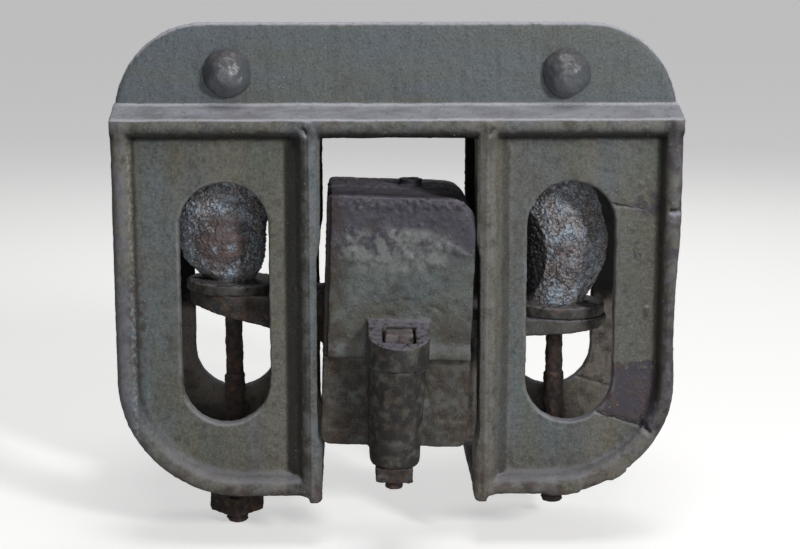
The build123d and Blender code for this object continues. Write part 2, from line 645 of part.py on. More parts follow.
def keep():
    """The keep that closes the box from below, a hollow tray with the lower lug on its front."""
    high = KEEP_BOTTOM_DROP - SPLIT_DROP
    outline = Pos(0, -SPLIT_DROP - high / 2) * Rectangle(2 * BOX_HALF, high)
    outline = fillet(outline.vertices().group_by(Axis.Y)[0], KEEP_CORNER_R)
    body = slab(outline, BOX_BACK, -BOX_FRONT)
    long = BOX_BACK + BOX_FRONT - 2 * KEEP_WALL
    tray = Pos(0, (BOX_BACK - BOX_FRONT) / 2, -KEEP_BOTTOM_DROP + KEEP_FLOOR) * Box(
        2 * (BOX_HALF - KEEP_WALL), long, high, align=STANDING
    )
    lug_top = Pos(0, 0, -SPLIT_DROP) * lug_plan(LUG_BOTTOM_R, 0)
    lug = extrude(lug_top, amount=-(LUG_BOTTOM_DROP - SPLIT_DROP), taper=LUG_TAPER)
    lug = fillet(lug.edges().group_by(Axis.Z)[0], LUG_BOTTOM_EDGE_R)
    body = body + lug - tray
    return body - column(KEEP_BOLT_R + KEEP_BOLT_CLEARANCE, 0, -LUG_OUT, 0, -LUG_BOTTOM_DROP - CUT_PAST)


def keep_bolt():
    """The square-headed bolt that holds the keep up, and its nut under the lower lug."""
    tail = LUG_BOTTOM_DROP + KEEP_NUT_THICK + KEEP_BOLT_TAIL
    head = Pos(0, -LUG_OUT, -POCKET_FLOOR_DROP) * Box(
        KEEP_HEAD_ACROSS, KEEP_HEAD_ACROSS, KEEP_HEAD_THICK, align=STANDING
    )
    head = chamfer(head.edges().group_by(Axis.Z)[-1], BOLT_END_CHAMFER)
    shank = column(KEEP_BOLT_R, 0, -LUG_OUT, -POCKET_FLOOR_DROP, -tail)
    shank = chamfer(shank.edges().group_by(Axis.Z)[0], BOLT_END_CHAMFER)
    grip = Pos(0, -LUG_OUT, -LUG_BOTTOM_DROP) * Rot(180, 0, 0) * nut(
        KEEP_NUT_ACROSS, KEEP_NUT_THICK, KEEP_BOLT_R + THREAD_CLEARANCE
    )
    return {"keep_bolt": head + shank, "keep_nut": grip}


def bearing():
    """The brass over the journal and the dust shield at the box's mouth."""
    bore = JOURNAL_R + JOURNAL_CLEARANCE
    ring = Circle(bore + BRASS_THICK) - Circle(bore)
    upper = ring & (Pos(0, bore) * Rectangle(4 * bore, 2 * bore))
    brass = slab(Pos(0, -JOURNAL_DROP) * upper, BRASS_BACK, BRASS_FRONT)
    hole = Pos(0, -JOURNAL_DROP) * Circle(SHIELD_HOLE_R)
    shield = slab(shield_outline(0) - hole, BRASS_BACK + SHIELD_GAP + SHIELD_THICK, BRASS_BACK + SHIELD_GAP)
    return {"journal_brass": brass, "dust_shield": shield}


def build():
    """Makes every piece, by name."""
    pieces = {"guard": pedestal()}
    pieces |= sill_bolts()
    pieces |= guide_rods()
    pieces |= springs()
    cocked = {"axlebox": axlebox(), "axlebox_keep": keep()}
    cocked |= keep_bolt()
    cocked |= bearing()
    pieces |= {name: tilt(piece) for name, piece in cocked.items()}
    return pieces


os.makedirs("parts", exist_ok=True)
for node, solid in build().items():
    export_step(solid, f"parts/{node}.step")
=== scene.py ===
"""The dressed axle guard of a horse-drawn tramway car, with its axlebox and its two rubber springs.

X runs along the car, Y from the outside of the car inwards, Z upwards, in metres. Sizes are written in
millimetres and turned to metres by MM.
"""

import json
import logging
import math
from dataclasses import dataclass, field
from enum import Enum
from functools import reduce

import bmesh
import bpy
from mathutils import Matrix, Vector, noise

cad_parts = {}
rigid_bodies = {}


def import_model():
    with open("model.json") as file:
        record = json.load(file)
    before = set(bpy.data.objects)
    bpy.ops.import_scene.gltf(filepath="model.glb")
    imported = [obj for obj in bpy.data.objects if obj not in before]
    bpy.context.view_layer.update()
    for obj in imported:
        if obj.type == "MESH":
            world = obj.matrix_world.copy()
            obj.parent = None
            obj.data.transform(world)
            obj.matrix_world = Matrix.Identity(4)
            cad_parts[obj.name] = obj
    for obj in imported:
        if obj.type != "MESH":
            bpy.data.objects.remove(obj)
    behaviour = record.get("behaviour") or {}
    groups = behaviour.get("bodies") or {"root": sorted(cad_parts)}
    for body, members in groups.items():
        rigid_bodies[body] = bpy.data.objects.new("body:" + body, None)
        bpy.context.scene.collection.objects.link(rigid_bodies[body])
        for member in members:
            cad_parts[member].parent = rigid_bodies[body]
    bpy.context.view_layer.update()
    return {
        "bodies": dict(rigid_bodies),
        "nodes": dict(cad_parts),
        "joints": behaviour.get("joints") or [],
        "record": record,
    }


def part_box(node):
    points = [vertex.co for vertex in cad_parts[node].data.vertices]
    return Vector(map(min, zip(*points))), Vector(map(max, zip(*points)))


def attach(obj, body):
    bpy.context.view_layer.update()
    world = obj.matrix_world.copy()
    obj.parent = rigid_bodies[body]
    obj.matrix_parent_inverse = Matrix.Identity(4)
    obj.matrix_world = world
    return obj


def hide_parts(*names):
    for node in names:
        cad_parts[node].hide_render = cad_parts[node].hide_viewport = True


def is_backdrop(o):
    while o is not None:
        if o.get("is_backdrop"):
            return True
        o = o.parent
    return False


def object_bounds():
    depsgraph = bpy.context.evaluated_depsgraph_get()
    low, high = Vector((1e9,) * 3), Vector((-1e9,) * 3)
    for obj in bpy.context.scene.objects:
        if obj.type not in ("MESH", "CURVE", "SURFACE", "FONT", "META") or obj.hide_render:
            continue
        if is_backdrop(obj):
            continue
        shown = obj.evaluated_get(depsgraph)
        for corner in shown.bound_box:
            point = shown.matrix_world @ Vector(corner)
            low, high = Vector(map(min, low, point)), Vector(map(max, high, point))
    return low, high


MM = 0.001
MERGE = 1e-6  # metres within which doubled points are merged
NOISE_SEED = 41  # without one the vector noise starts from the clock, and the springs' cracks move
LOG = logging.getLogger("axle_guard")
Colour = tuple[float, float, float]
Pair = tuple[float, float]
Socket = bpy.types.NodeSocket
Inputs = dict[str | int, object]


class Side(Enum):
    """The two ends of the guard, seen from the front."""

    LEFT = -1
    RIGHT = 1

    @property
    def word(self) -> str:
        """The side's name as node names spell it."""
        return self.name.lower()


class Lie(Enum):
    """Which way a streaked pattern runs."""

    EVEN = (1.0, 1.0, 1.0)
    UPRIGHT = (1.0, 1.0, 0.12)
    LEVEL = (0.2, 0.2, 1.0)


class Place(Enum):
    """Soft-edged places: rows of an axis and where along it the mask starts and is full, in millimetres."""

    FLANGE = (("z", -30, -18),)
    BELOW_FLANGE = (("z", -18, -34),)
    RIGHT_END = (("x", 140, 180), ("z", -60, -100))
    FOOT = (("z", -260, -320),)
    HORN_FEET = (("z", -290, -322),)
    INSIDE = (("y", -18, -6), ("z", -34, -44))
    # painted shade: the inside between the front and back plates
    SOOTED = (("y", -16, -6), ("y", 96.5, 93.5), ("z", -36, -46))
    PANEL_FRONT = (("y", -20, -26),)
    PANEL_FACE = (("y", -24.5, -26.5),)
    # dirt and painted shade on the slopes between the panels and the beads and crests
    COVE = (("y", -28.2, -30.0), ("y", -34.5, -32.0))
    # painted shade on the slope left of the left horn's crest
    BESIDE_CREST = (("x", -88.5, -85.0), ("x", -66.8, -68.5), ("z", -44, -50), ("y", -20, -26))
    CREST = (("y", -37.2, -39.6),)
    SHELF = (("z", -50, -45), ("z", -30, -36))
    # dirt and painted shade under the shelf bead
    UNDER_SHELF = (("z", -58, -50), ("z", -35, -41))
    SHELF_TOP = (("z", -50, -40),)
    SHELF_BACK = (("y", -16.5, -14.0),)
    SHELF_FRONT = (("y", -36.5, -38.5),)
    FLANGE_FOOT = (("y", -11.2, -10.2), ("z", -28, -22), ("y", 4, 1))
    LEFT_SIDE = (("x", -203.0, -206.5),)
    RIGHT_SIDE = (("x", 208.5, 211.0),)
    # painted shade in the grooves beside the beads, and on the right bead's inner side
    LEFT_STRIP = (("x", -193.5, -195.5), ("x", -201.0, -200.0))
    RIGHT_STRIP = (("x", 199.0, 200.5), ("x", 212.5, 205.0))
    LEFT_CRUST = (("x", -204.5, -202.5), ("x", -199.2, -200.8), ("z", -50, -58))
    RIGHT_BEAD = (("x", 200.5, 204.5),)
    REPAIR = (("x", 150, 152),)
    BOX_TOP = (("z", -150, -125),)
    BOX_FOOT = (("z", -158, -180),)
    BOX_EDGE = (("x", -36, -50),)
    BOX_ARMS = (("y", -12, 4), ("across", 56, 64))
    BOX_LUG = (("across", 26, 20), ("y", -43, -47))
    KEEP = (("z", -205, -235),)
    KEEP_BOLT_HEAD = (("z", -222, -216), ("y", -42, -46))
    LEFT_SPRING = (("x", 0, -10),)
    # painted shadow on the left spring's lower left
    LEFT_SPRING_FOOT = (("z", -150, -166), ("x", -138, -150))


class Spot(Enum):
    """Soft ovals on the front: the middle's x and z, half the width and half the height, in millimetres."""

    PANEL_STAIN = (192, -99, 13, 12)
    PANEL_RUN = (184, -137, 4, 12)
    FLANGE_STAIN = (-142, -39, 12, 7)
    FLANGE_SPECK = (-171, -40, 4, 4)
    BEAD_RUST = (-200, -190, 9, 52)
    BOX_PALE = (-4, -131, 56, 21)
    BOX_TEAL = (0, -160, 52, 18)
    LEFT_BARE = (-137, -131, 27, 27)
    RIGHT_BARE = (136, -150, 20, 26)
    RIGHT_SHADED = (96, -146, 23, 41)


CRACK_LINES = (
    ((161.0, -98.0), (187.0, -102.5), 0.8),
    ((154.0, -262.0), (196.0, -275.3), 0.9),
    ((206.0, -102.0), (212.5, -103.4), 1.3),
)


def shade(red: int, green: int, blue: int) -> Colour:
    """Turns a display colour into the linear one that shaders take.

    Args:
        red: Red, 0 to 255.
        green: Green, 0 to 255.
        blue: Blue, 0 to 255.

    Returns:
        The colour as three linear numbers.
    """

    def linear(value: int) -> float:
        """One channel."""
        share = value / 255
        return share / 12.92 if share <= 0.04045 else ((share + 0.055) / 1.055) ** 2.4

    return (linear(red), linear(green), linear(blue))


class Coat:
    """A material's node tree and the colour laid so far, with short ways to add its nodes and join them."""

    def __init__(self, name: str) -> None:
        """Starts a material with a bare shader.

        Args:
            name: The material's name.
        """
        self.material = bpy.data.materials.new(name)
        self.material.use_nodes = True
        self.tree = self.material.node_tree
        self.shader = self.tree.nodes["Principled BSDF"]
        self.place = self.add("ShaderNodeTexCoord").outputs["Object"]
        self.x, self.y, self.z = self.add("ShaderNodeSeparateXYZ", {"Vector": self.place}).outputs
        self.across = self.maths("ABSOLUTE", self.x)
        self.tone: Socket | None = None

    def add(self, kind: str, inputs: Inputs | None = None, **settings: object) -> bpy.types.Node:
        """Adds a node.

        Args:
            kind: The node's type.
            inputs: Values or sockets for its inputs, by name or number.
            **settings: The node's own properties.

        Returns:
            The node.
        """
        node = self.tree.nodes.new(kind)
        for key, value in settings.items():
            setattr(node, key, value)
        for key, value in (inputs or {}).items():
            self.feed(node.inputs[key], value)
        return node

    def feed(self, socket: Socket, value: object) -> None:
        """Joins a socket to an input, or writes a value there.

        Args:
            socket: The input.
            value: A socket, a number or a colour.
        """
        if isinstance(value, bpy.types.NodeSocket):
            self.tree.links.new(value, socket)
        elif isinstance(value, tuple) and len(value) == 3 and socket.type == "RGBA":
            socket.default_value = (*value, 1.0)
        else:
            socket.default_value = value

    def maths(self, what: str, a: object, b: object = 0.0) -> Socket:
        """The result of a Math node's operation on two values."""
        return self.add("ShaderNodeMath", {0: a, 1: b}, operation=what).outputs[0]

    def band(self, value: object, start: float, full: float) -> Socket:
        """A mask that rises smoothly from 0 at the start to 1 where it is full, which may be less."""
        sorts = {"Value": value, "From Min": start, "From Max": full}
        return self.add("ShaderNodeMapRange", sorts, interpolation_type="SMOOTHSTEP").outputs[0]

    def spread(self, value: object, low: float, high: float, least: float, most: float) -> Socket:
        """Moves a value from the range low to high into that from least to most."""
        sorts = {"Value": value, "From Min": low, "From Max": high, "To Min": least, "To Max": most}
        return self.add("ShaderNodeMapRange", sorts).outputs[0]

    def both(self, *masks: object) -> Socket:
        """The product of masks and shares, of which the first is a mask."""
        return reduce(lambda a, b: self.maths("MULTIPLY", a, b), map(self.mask, masks))

    def either(self, *masks: object) -> Socket:
        """The greatest of several masks."""
        return reduce(lambda a, b: self.maths("MAXIMUM", a, b), map(self.mask, masks))

    def mask(self, what: object) -> object:
        """The mask of a place or a spot; a socket or a number stays as it is."""
        return {Place: self.at, Spot: self.near}.get(type(what), lambda same: same)(what)

    def mix(self, share: object, a: object, b: object) -> Socket:
        """A blend of colour a and colour b, with b's share given."""
        return self.add("ShaderNodeMix", {0: share, 6: a, 7: b}, data_type="RGBA").outputs[2]

    def ground(self, share: object, a: object, b: object) -> None:
        """Starts the colour with a blend of two."""
        self.tone = self.mix(share, a, b)

    def lay(self, colour: object, *masks: object) -> None:
        """Lays a colour over those before, as thick as the product of its masks and shares."""
        self.tone = self.mix(self.both(*masks), self.tone, colour)

    def stretch(self, lie: Lie, seed: float) -> Socket:
        """Object coordinates drawn out one way and moved to their own part of the noise."""
        sorts = {"Vector": self.place, "Location": (seed * 1.7, seed * 0.9, seed * 2.3), "Scale": lie.value}
        return self.add("ShaderNodeMapping", sorts).outputs[0]

    def cloud(
        self, size: float, detail: float, lie: Lie = Lie.EVEN, seed: float = 0, warp: float = 0
    ) -> Socket:
        """Fractal noise, 0 to 1, with blotches of a size in millimetres, finer layers and a twist."""
        sorts = {"Vector": self.stretch(lie, seed), "Scale": 1 / (size * MM)}
        return self.add("ShaderNodeTexNoise", sorts | {"Detail": detail, "Distortion": warp}).outputs["Fac"]

    def blots(self, start: float, full: float, size: float, detail: float, **more: object) -> Socket:
        """Soft-edged blots cut out of the fractal noise between two of its values."""
        return self.band(self.cloud(size, detail, **more), start, full)

    def wander(self, size: float, detail: float, seed: float, far: float) -> Socket:
        """Fractal noise as a distance to both sides of 0, with its whole range in millimetres."""
        return self.both(self.maths("SUBTRACT", self.cloud(size, detail, seed=seed), 0.5), far * MM)

    def ragged(self, wander: Socket, level: Pair) -> Socket:
        """A level mask with a ragged edge, between two levels in millimetres."""
        return self.band(self.maths("ADD", self.z, wander), level[0] * MM, level[1] * MM)

    def cells(self, size: float, what: str = "F1", seed: float = 0, warp: float = 0) -> Socket:
        """Distance in a pattern of cells.

        Args:
            size: The size of a cell in millimetres.
            what: F1 for the distance to a cell's middle, DISTANCE_TO_EDGE for that to its edge.
            seed: Where in the pattern it lies.
            warp: How far noise bends the cells, in metres.

        Returns:
            The distance, as a share of a cell.
        """
        where = self.stretch(Lie.EVEN, seed)
        if warp:
            sorts = {"Vector": where, "Scale": 0.9 / (size * MM), "Detail": 3.0}
            sorts = {0: self.add("ShaderNodeTexNoise", sorts).outputs["Color"], 1: (warp,) * 3}
            moved = self.add("ShaderNodeVectorMath", sorts, operation="MULTIPLY").outputs[0]
            where = self.add("ShaderNodeVectorMath", {0: where, 1: moved}).outputs[0]
        sorts = {"Vector": where, "Scale": 1 / (size * MM)}
        return self.add("ShaderNodeTexVoronoi", sorts, feature=what).outputs["Distance"]

    def specks(self, start: float, full: float, size: float, seed: float) -> Socket:
        """Round specks in the middles of cells, with their edge between two shares of a cell."""
        return self.band(self.cells(size, seed=seed), start, full)

    def facing_up(self, start: float, full: float) -> Socket:
        """A mask on faces that look upwards, between two values of the normal's rise."""
        normal = self.add("ShaderNodeNewGeometry").outputs["Normal"]
        return self.band(self.add("ShaderNodeSeparateXYZ", {"Vector": normal}).outputs["Z"], start, full)

    def at(self, place: Place) -> Socket:
        """The mask of one place, or of the room that its rows share."""
        return self.both(*[self.band(getattr(self, way), a * MM, b * MM) for way, a, b in place.value])

    def near(self, spot: Spot, full: float = 0.35) -> Socket:
        """A soft oval on the front, 0 from its rim outwards.

        Args:
            spot: The oval.
            full: The squared share of the way out within which it is 1.

        Returns:
            The mask.
        """
        x, z, wide, high = (size * MM for size in spot.value)
        across = self.maths("DIVIDE", self.maths("SUBTRACT", self.x, x), wide)
        down = self.maths("DIVIDE", self.maths("SUBTRACT", self.z, z), high)
        return self.band(self.maths("ADD", self.both(across, across), self.both(down, down)), 1.0, full)

    def stroke(self, start: Pair, end: Pair, half_wide: float, core: float = 0.3) -> Socket:
        """A thin ragged line on the front between two places (x, z).

        Args:
            start: Its left end in millimetres.
            end: Its right end in millimetres.
            half_wide: Half its width in millimetres.
            core: The share of its width where it is full.

        Returns:
            The mask.
        """
        slope = (end[1] - start[1]) / (end[0] - start[0])
        line = self.both(self.maths("SUBTRACT", self.x, start[0] * MM), slope)
        off = self.maths("SUBTRACT", self.maths("SUBTRACT", self.z, start[1] * MM), line)
        away = self.maths("ABSOLUTE", self.maths("ADD", off, self.wander(7, 4, 88, far=5)))
        begun = self.band(self.x, (start[0] - 1) * MM, (start[0] + 1) * MM)
        going = self.band(self.x, (end[0] + 1) * MM, (end[0] - 1) * MM)
        return self.both(begun, going, self.band(away, half_wide * MM, core * half_wide * MM))

    def relief(self, *layers: tuple[object, float]) -> None:
        """Gives the shader its bumps.

        Args:
            *layers: Pairs of a 0 to 1 height and its depth in millimetres.
        """
        total = None
        for height, deep in layers:
            part = self.both(height, deep)
            total = part if total is None else self.maths("ADD", total, part)
        bump = self.add("ShaderNodeBump", {"Height": total, "Distance": MM, "Strength": 1.0})
        self.feed(self.shader.inputs["Normal"], bump.outputs[0])

    def finish(self, rough: Socket, ior: float = 1.5, metallic: float = 0.0) -> bpy.types.Material:
        """Feeds the shader with the laid colour and the rest.

        Args:
            rough: The roughness.
            ior: The index of refraction.
            metallic: How metallic the surface is.

        Returns:
            The material.
        """
        sorts = {"Base Color": self.tone, "Roughness": rough, "IOR": ior, "Metallic": metallic}
        for key, value in sorts.items():
            self.feed(self.shader.inputs[key], value)
        return self.material


@dataclass(frozen=True)
class GuardPaint:
    """Old grey-green oil paint on rough cast iron, dusty on top and stained with rust."""

    name: str = "guard_paint_old"
    green: Colour = shade(86, 89, 81)
    blue: Colour = shade(86, 93, 97)
    olive: Colour = shade(82, 77, 65)
    rust: Colour = shade(70, 58, 57)
    # dark grey-brown: dirt, and painted shade in the coves, beside the left horn's crest and in the beads'
    # grooves
    dirt: Colour = shade(44, 42, 38)
    dust: Colour = shade(154, 154, 163)
    worn: Colour = shade(126, 124, 126)
    patch: Colour = shade(56, 51, 61)
    grime: Colour = shade(112, 104, 97)
    # near-black: painted shade inside the guard, and painted shade with dirt under the shelf bead
    soot: Colour = shade(8, 8, 8)
    tan: Colour = shade(103, 96, 83)
    splash: Colour = shade(182, 181, 188)
    pale: Colour = shade(150, 150, 146)
    lavender: Colour = shade(90, 89, 100)
    upper: Colour = shade(88, 93, 90)
    upper_blue: Colour = shade(87, 94, 100)
    slit: Colour = shade(40, 26, 26)
    crack_start: float = 156.2
    crack_level: float = 262.5
    crack_fall: float = 0.317
    crack_soft: float = 1.2
    slot_x: float = 133.0
    slot_middle: float = 175.5
    slot_straight: float = 60.5
    slot_r: float = 34.8
    slot_worn: Pair = (2.0, 0.6)
    patch_top: Pair = (-222.0, -226.0)
    # the level above which the inside is laid near-black as painted shade
    soot_level: Pair = (-206.0, -188.0)

    def dress(self) -> bpy.types.Material:
        """Makes the material.

        Returns:
            The material.
        """
        coat = Coat(self.name)
        mottle = coat.cloud(8, 6, seed=3)
        grain = coat.cloud(1.9, 4, seed=18)
        runs = coat.blots(0.54, 0.72, 8, 3, seed=4, lie=Lie.UPRIGHT)
        rust, patch = self.rusted(coat), self.patched(coat)
        split = coat.either(*[coat.stroke(*line) for line in CRACK_LINES])
        sand = coat.both(coat.specks(0.42, 0.16, 1.9, seed=15), coat.blots(0.40, 0.62, 24, 3, seed=16))
        grit = coat.both(coat.specks(0.17, 0.08, 5.5, seed=21), coat.blots(0.50, 0.62, 15, 2, seed=22))
        crest = coat.both(Place.CREST, coat.blots(0.40, 0.62, 9, 6, seed=11))
        self.paint(coat, mottle)
        coat.lay(self.dirt, coat.band(grain, 0.50, 0.68), 0.34)
        coat.lay(self.worn, coat.band(grain, 0.50, 0.32), 0.20)
        coat.lay(self.dirt, runs, 0.16)
        coat.lay(self.rust, rust, 0.75)
        coat.lay(coat.mix(coat.band(mottle, 0.50, 0.62), self.patch, self.rust), patch, 0.9)
        self.soil_beads(coat)
        # Painted shade: the slope left of the left horn's crest, which faces away from the light, darkened.
        coat.lay(self.dirt, Place.BESIDE_CREST, 0.85)
        coat.lay(self.slit, split, Place.PANEL_FRONT, 0.85)
        # Dirt and painted shade: the slopes between the panels and the beads and crests darkened, where shade
        # falls.
        coat.lay(self.dirt, Place.COVE, 0.55)
        coat.lay(self.worn, coat.either(coat.both(self.slot_rim(coat), 0.42), coat.both(crest, 0.24)))
        # Dirt and painted shade: faces that turn downwards under the shelf bead laid near-black, where shade
        # falls.
        coat.lay(self.soot, coat.facing_up(0.30, -0.50), Place.UNDER_SHELF, 0.85)
        coat.lay(self.pale, coat.either(coat.both(sand, 0.10), coat.both(grit, 0.40)))
        lying = self.dusted(coat)
        # Painted shade: the inner faces between the plates, down to about the arms' level, laid near-black
        # where the inside lies in shade.
        soot = coat.both(Place.SOOTED, coat.ragged(coat.wander(14, 5, 53, far=30), self.soot_level))
        coat.lay(self.soot, soot, 0.97)
        coat.relief(
            (coat.specks(0.30, 0.10, 5, seed=13), 0.16),
            (runs, 0.12),
            (mottle, 0.45),
            (grain, 0.22),
            (rust, -0.12),
            (patch, -0.25),
            (sand, 0.13),
            (grit, 0.35),
            (split, -0.8),
        )
        return coat.finish(coat.spread(coat.either(lying, rust, soot), 0, 1, 0.50, 0.95), ior=1.33)

    def paint(self, coat: Coat, mottle: Socket) -> None:
        """Lays the paint itself: green and blue, browned below, faded, and dirty inside.

        Args:
            coat: The material's tree.
            mottle: The noise that the darker blotches below the flange follow.
        """
        coat.ground(coat.blots(0.40, 0.60, 46, 4, seed=1, lie=Lie.UPRIGHT), self.green, self.blue)
        browned = coat.either(Place.RIGHT_END, Place.FOOT)
        olive = coat.blots(0.46, 0.70, 40, 5, seed=2)
        coat.lay(self.olive, coat.either(coat.both(olive, 0.45), coat.both(browned, 0.5)))
        brushed = coat.mix(coat.blots(0.38, 0.62, 22, 5, seed=29, lie=Lie.LEVEL), self.upper, self.upper_blue)
        coat.lay(brushed, Place.FLANGE, 0.88)
        grimy = coat.mix(coat.blots(0.46, 0.70, 16, 7, seed=33), self.grime, self.dirt)
        coat.lay(grimy, Place.INSIDE, 0.85)
        below = coat.at(Place.BELOW_FLANGE)
        coat.lay(self.tan, coat.blots(0.44, 0.62, 34, 5, seed=14, lie=Lie.UPRIGHT), below, 0.50)
        coat.lay(self.dirt, coat.band(mottle, 0.48, 0.74), coat.spread(below, 0, 1, 0.16, 0.46))

    def dusted(self, coat: Coat) -> Socket:
        """Lays dust on what looks up, and pale splashes along the flange's foot and the shelf's ends.

        Args:
            coat: The material's tree.

        Returns:
            The dust's mask.
        """
        fine = coat.cloud(3.0, 5, seed=12)
        level = coat.spread(coat.cloud(5, 5, Lie.LEVEL, seed=24), 0.35, 0.60, 0.62, 1)
        lying = coat.both(coat.facing_up(0.15, 0.70), coat.band(fine, 0.16, 0.44), level)
        coat.lay(self.dust, lying, coat.spread(coat.z, -0.30, -0.05, 0.38, 0.95))
        ends = coat.either(Place.SHELF_BACK, Place.SHELF_FRONT)
        ends = coat.both(ends, coat.facing_up(0.3, 0.7), Place.SHELF_TOP, 0.5)
        splashed = coat.either(Place.FLANGE_FOOT, ends)
        coat.lay(self.splash, splashed, coat.spread(fine, 0.3, 0.5, 0.5, 1))
        return lying

    def soil_beads(self, coat: Coat) -> None:
        """Lays dust on the beads' outer sides, painted shade in the grooves beside them, purple blots and a
        crusty edge.

        Args:
            coat: The material's tree.
        """
        front = Place.PANEL_FRONT
        sides = coat.either(Place.LEFT_SIDE, Place.RIGHT_SIDE)
        left, right = coat.both(Place.LEFT_STRIP, 0.30), coat.both(Place.RIGHT_STRIP, 0.75)
        coat.lay(self.lavender, sides, front, coat.spread(coat.cloud(9, 5, seed=23), 0.35, 0.6, 0, 1), 0.6)
        # Painted shade: the grooves beside the beads and the right bead's inner side darkened.
        coat.lay(self.dirt, coat.either(left, right), front)
        coat.lay(self.patch, Place.RIGHT_BEAD, coat.blots(0.52, 0.62, 16, 5, seed=26), front, 0.75)
        coat.lay(self.pale, Place.LEFT_CRUST, coat.blots(0.46, 0.60, 3, 4, seed=27), front, 0.4)

    def patched(self, coat: Coat) -> Socket:
        """The dark repair beside the right slot, above the lower crack, and stains higher up.

        Args:
            coat: The material's tree.

        Returns:
            The mask.
        """
        fall = coat.both(coat.maths("SUBTRACT", coat.x, self.crack_start * MM), self.crack_fall)
        crack = coat.maths("ADD", fall, self.crack_level * MM)
        above = coat.band(coat.maths("ADD", coat.z, crack), 0.0, self.crack_soft * MM)
        top = coat.ragged(coat.wander(9, 5, 10, far=30), self.patch_top)
        repair = coat.both(above, top, Place.REPAIR)
        stain = coat.both(Spot.PANEL_STAIN, coat.blots(0.38, 0.56, 7, 5, seed=34))
        run = coat.both(Spot.PANEL_RUN, coat.blots(0.40, 0.60, 6, 4, seed=35))
        high = coat.either(Spot.FLANGE_STAIN, Spot.FLANGE_SPECK)
        high = coat.both(high, coat.blots(0.36, 0.56, 6, 5, seed=52), 0.7)
        return coat.both(coat.either(repair, stain, run, high), Place.PANEL_FACE)

    def rusted(self, coat: Coat) -> Socket:
        """Rust stains beside the left bead, at the horns' feet and in scattered specks and blots.

        Args:
            coat: The material's tree.

        Returns:
            The mask.
        """
        return coat.either(
            coat.both(coat.blots(0.60, 0.70, 22, 8, seed=5), coat.blots(0.42, 0.6, 60, 2, seed=19), 0.5),
            coat.both(Spot.BEAD_RUST, coat.blots(0.44, 0.60, 7, 6, seed=6)),
            coat.both(Place.HORN_FEET, coat.blots(0.42, 0.60, 12, 6, seed=7)),
            coat.both(coat.specks(0.15, 0.08, 4.2, seed=8), coat.blots(0.50, 0.62, 26, 3, seed=9)),
            coat.both(Place.SHELF, coat.blots(0.58, 0.68, 13, 6, seed=20), 0.6),
        )

    def slot_rim(self, coat: Coat) -> Socket:
        """The worn line round each slot's edge.

        Args:
            coat: The material's tree.

        Returns:
            The mask.
        """
        across = coat.maths("SUBTRACT", coat.across, self.slot_x * MM)
        along = coat.maths("ABSOLUTE", coat.maths("ADD", coat.z, self.slot_middle * MM))
        along = coat.maths("MAXIMUM", coat.maths("SUBTRACT", along, self.slot_straight * MM), 0.0)
        far = coat.maths("SQRT", coat.maths("ADD", coat.both(across, across), coat.both(along, along)))
        edge = coat.maths("ABSOLUTE", coat.maths("SUBTRACT", far, self.slot_r * MM))
        worn = coat.band(edge, self.slot_worn[0] * MM, self.slot_worn[1] * MM)
        return coat.both(worn, coat.blots(0.35, 0.6, 12, 4, seed=17))


@dataclass(frozen=True)
class BoxPaint:
    """The same paint on the axlebox, worn dark and greasy, purple-grey with dust above."""

    name: str = "box_paint_old"
    dark: Colour = shade(64, 65, 62)
    green: Colour = shade(84, 89, 86)
    purple: Colour = shade(58, 56, 68)
    rust: Colour = shade(66, 52, 45)
    pale: Colour = shade(114, 116, 115)
    # soot and grease on the axlebox
    soot: Colour = shade(32, 30, 31)
    dust: Colour = shade(112, 106, 116)
    teal: Colour = shade(86, 95, 98)
    moss: Colour = shade(68, 62, 50)

    def dress(self) -> bpy.types.Material:
        """Makes the material.

        Returns:
            The material.
        """
        coat = Coat(self.name)
        mottle = coat.cloud(7, 7, seed=21)
        grain = coat.cloud(1.5, 4, seed=28)
        low = coat.both(Place.KEEP, coat.band(mottle, 0.36, 0.54), 0.75)
        edge = coat.both(Place.BOX_EDGE, coat.blots(0.40, 0.60, 14, 6, seed=30))
        rust = coat.either(low, coat.both(coat.blots(0.55, 0.72, 16, 9, seed=24), 0.6), edge)
        coat.ground(coat.blots(0.36, 0.60, 30, 5, seed=22), self.dark, self.green)
        coat.lay(self.purple, Place.BOX_TOP, 0.85)
        coat.lay(self.pale, Spot.BOX_PALE, coat.blots(0.36, 0.54, 9, 6, seed=23), 0.75)
        coat.lay(self.teal, Spot.BOX_TEAL, coat.blots(0.34, 0.58, 18, 5, seed=32), 0.55)
        coat.lay(self.moss, Place.BOX_FOOT, coat.blots(0.40, 0.56, 22, 6, seed=36), 0.55)
        coat.lay(self.rust, rust, 0.70)
        coat.lay(self.soot, coat.band(mottle, 0.46, 0.72), 0.45)
        coat.lay(self.soot, coat.band(grain, 0.50, 0.70), 0.35)
        coat.lay(coat.mix(coat.band(mottle, 0.40, 0.62), self.soot, self.rust), Place.BOX_ARMS, 0.8)
        bloom = coat.both(coat.specks(0.45, 0.15, 1.7, seed=37), coat.blots(0.38, 0.60, 12, 4, seed=38))
        coat.lay(self.pale, bloom, 0.35)
        coat.lay(self.soot, Place.BOX_LUG, coat.blots(0.36, 0.56, 8, 6, seed=39), 0.82)
        lying = coat.both(coat.facing_up(0.2, 0.8), coat.blots(0.30, 0.56, 4, 4, seed=25))
        coat.lay(self.dust, lying, 0.80)
        coat.lay(self.pale, coat.specks(0.14, 0.08, 6, seed=26), coat.blots(0.50, 0.60, 20, 2, seed=31), 0.25)
        coat.relief((mottle, 0.7), (grain, 0.25), (coat.specks(0.3, 0.1, 5, seed=29), 0.2), (rust, -0.12))
        return coat.finish(coat.spread(coat.either(lying, rust), 0, 1, 0.45, 0.90), ior=1.36)


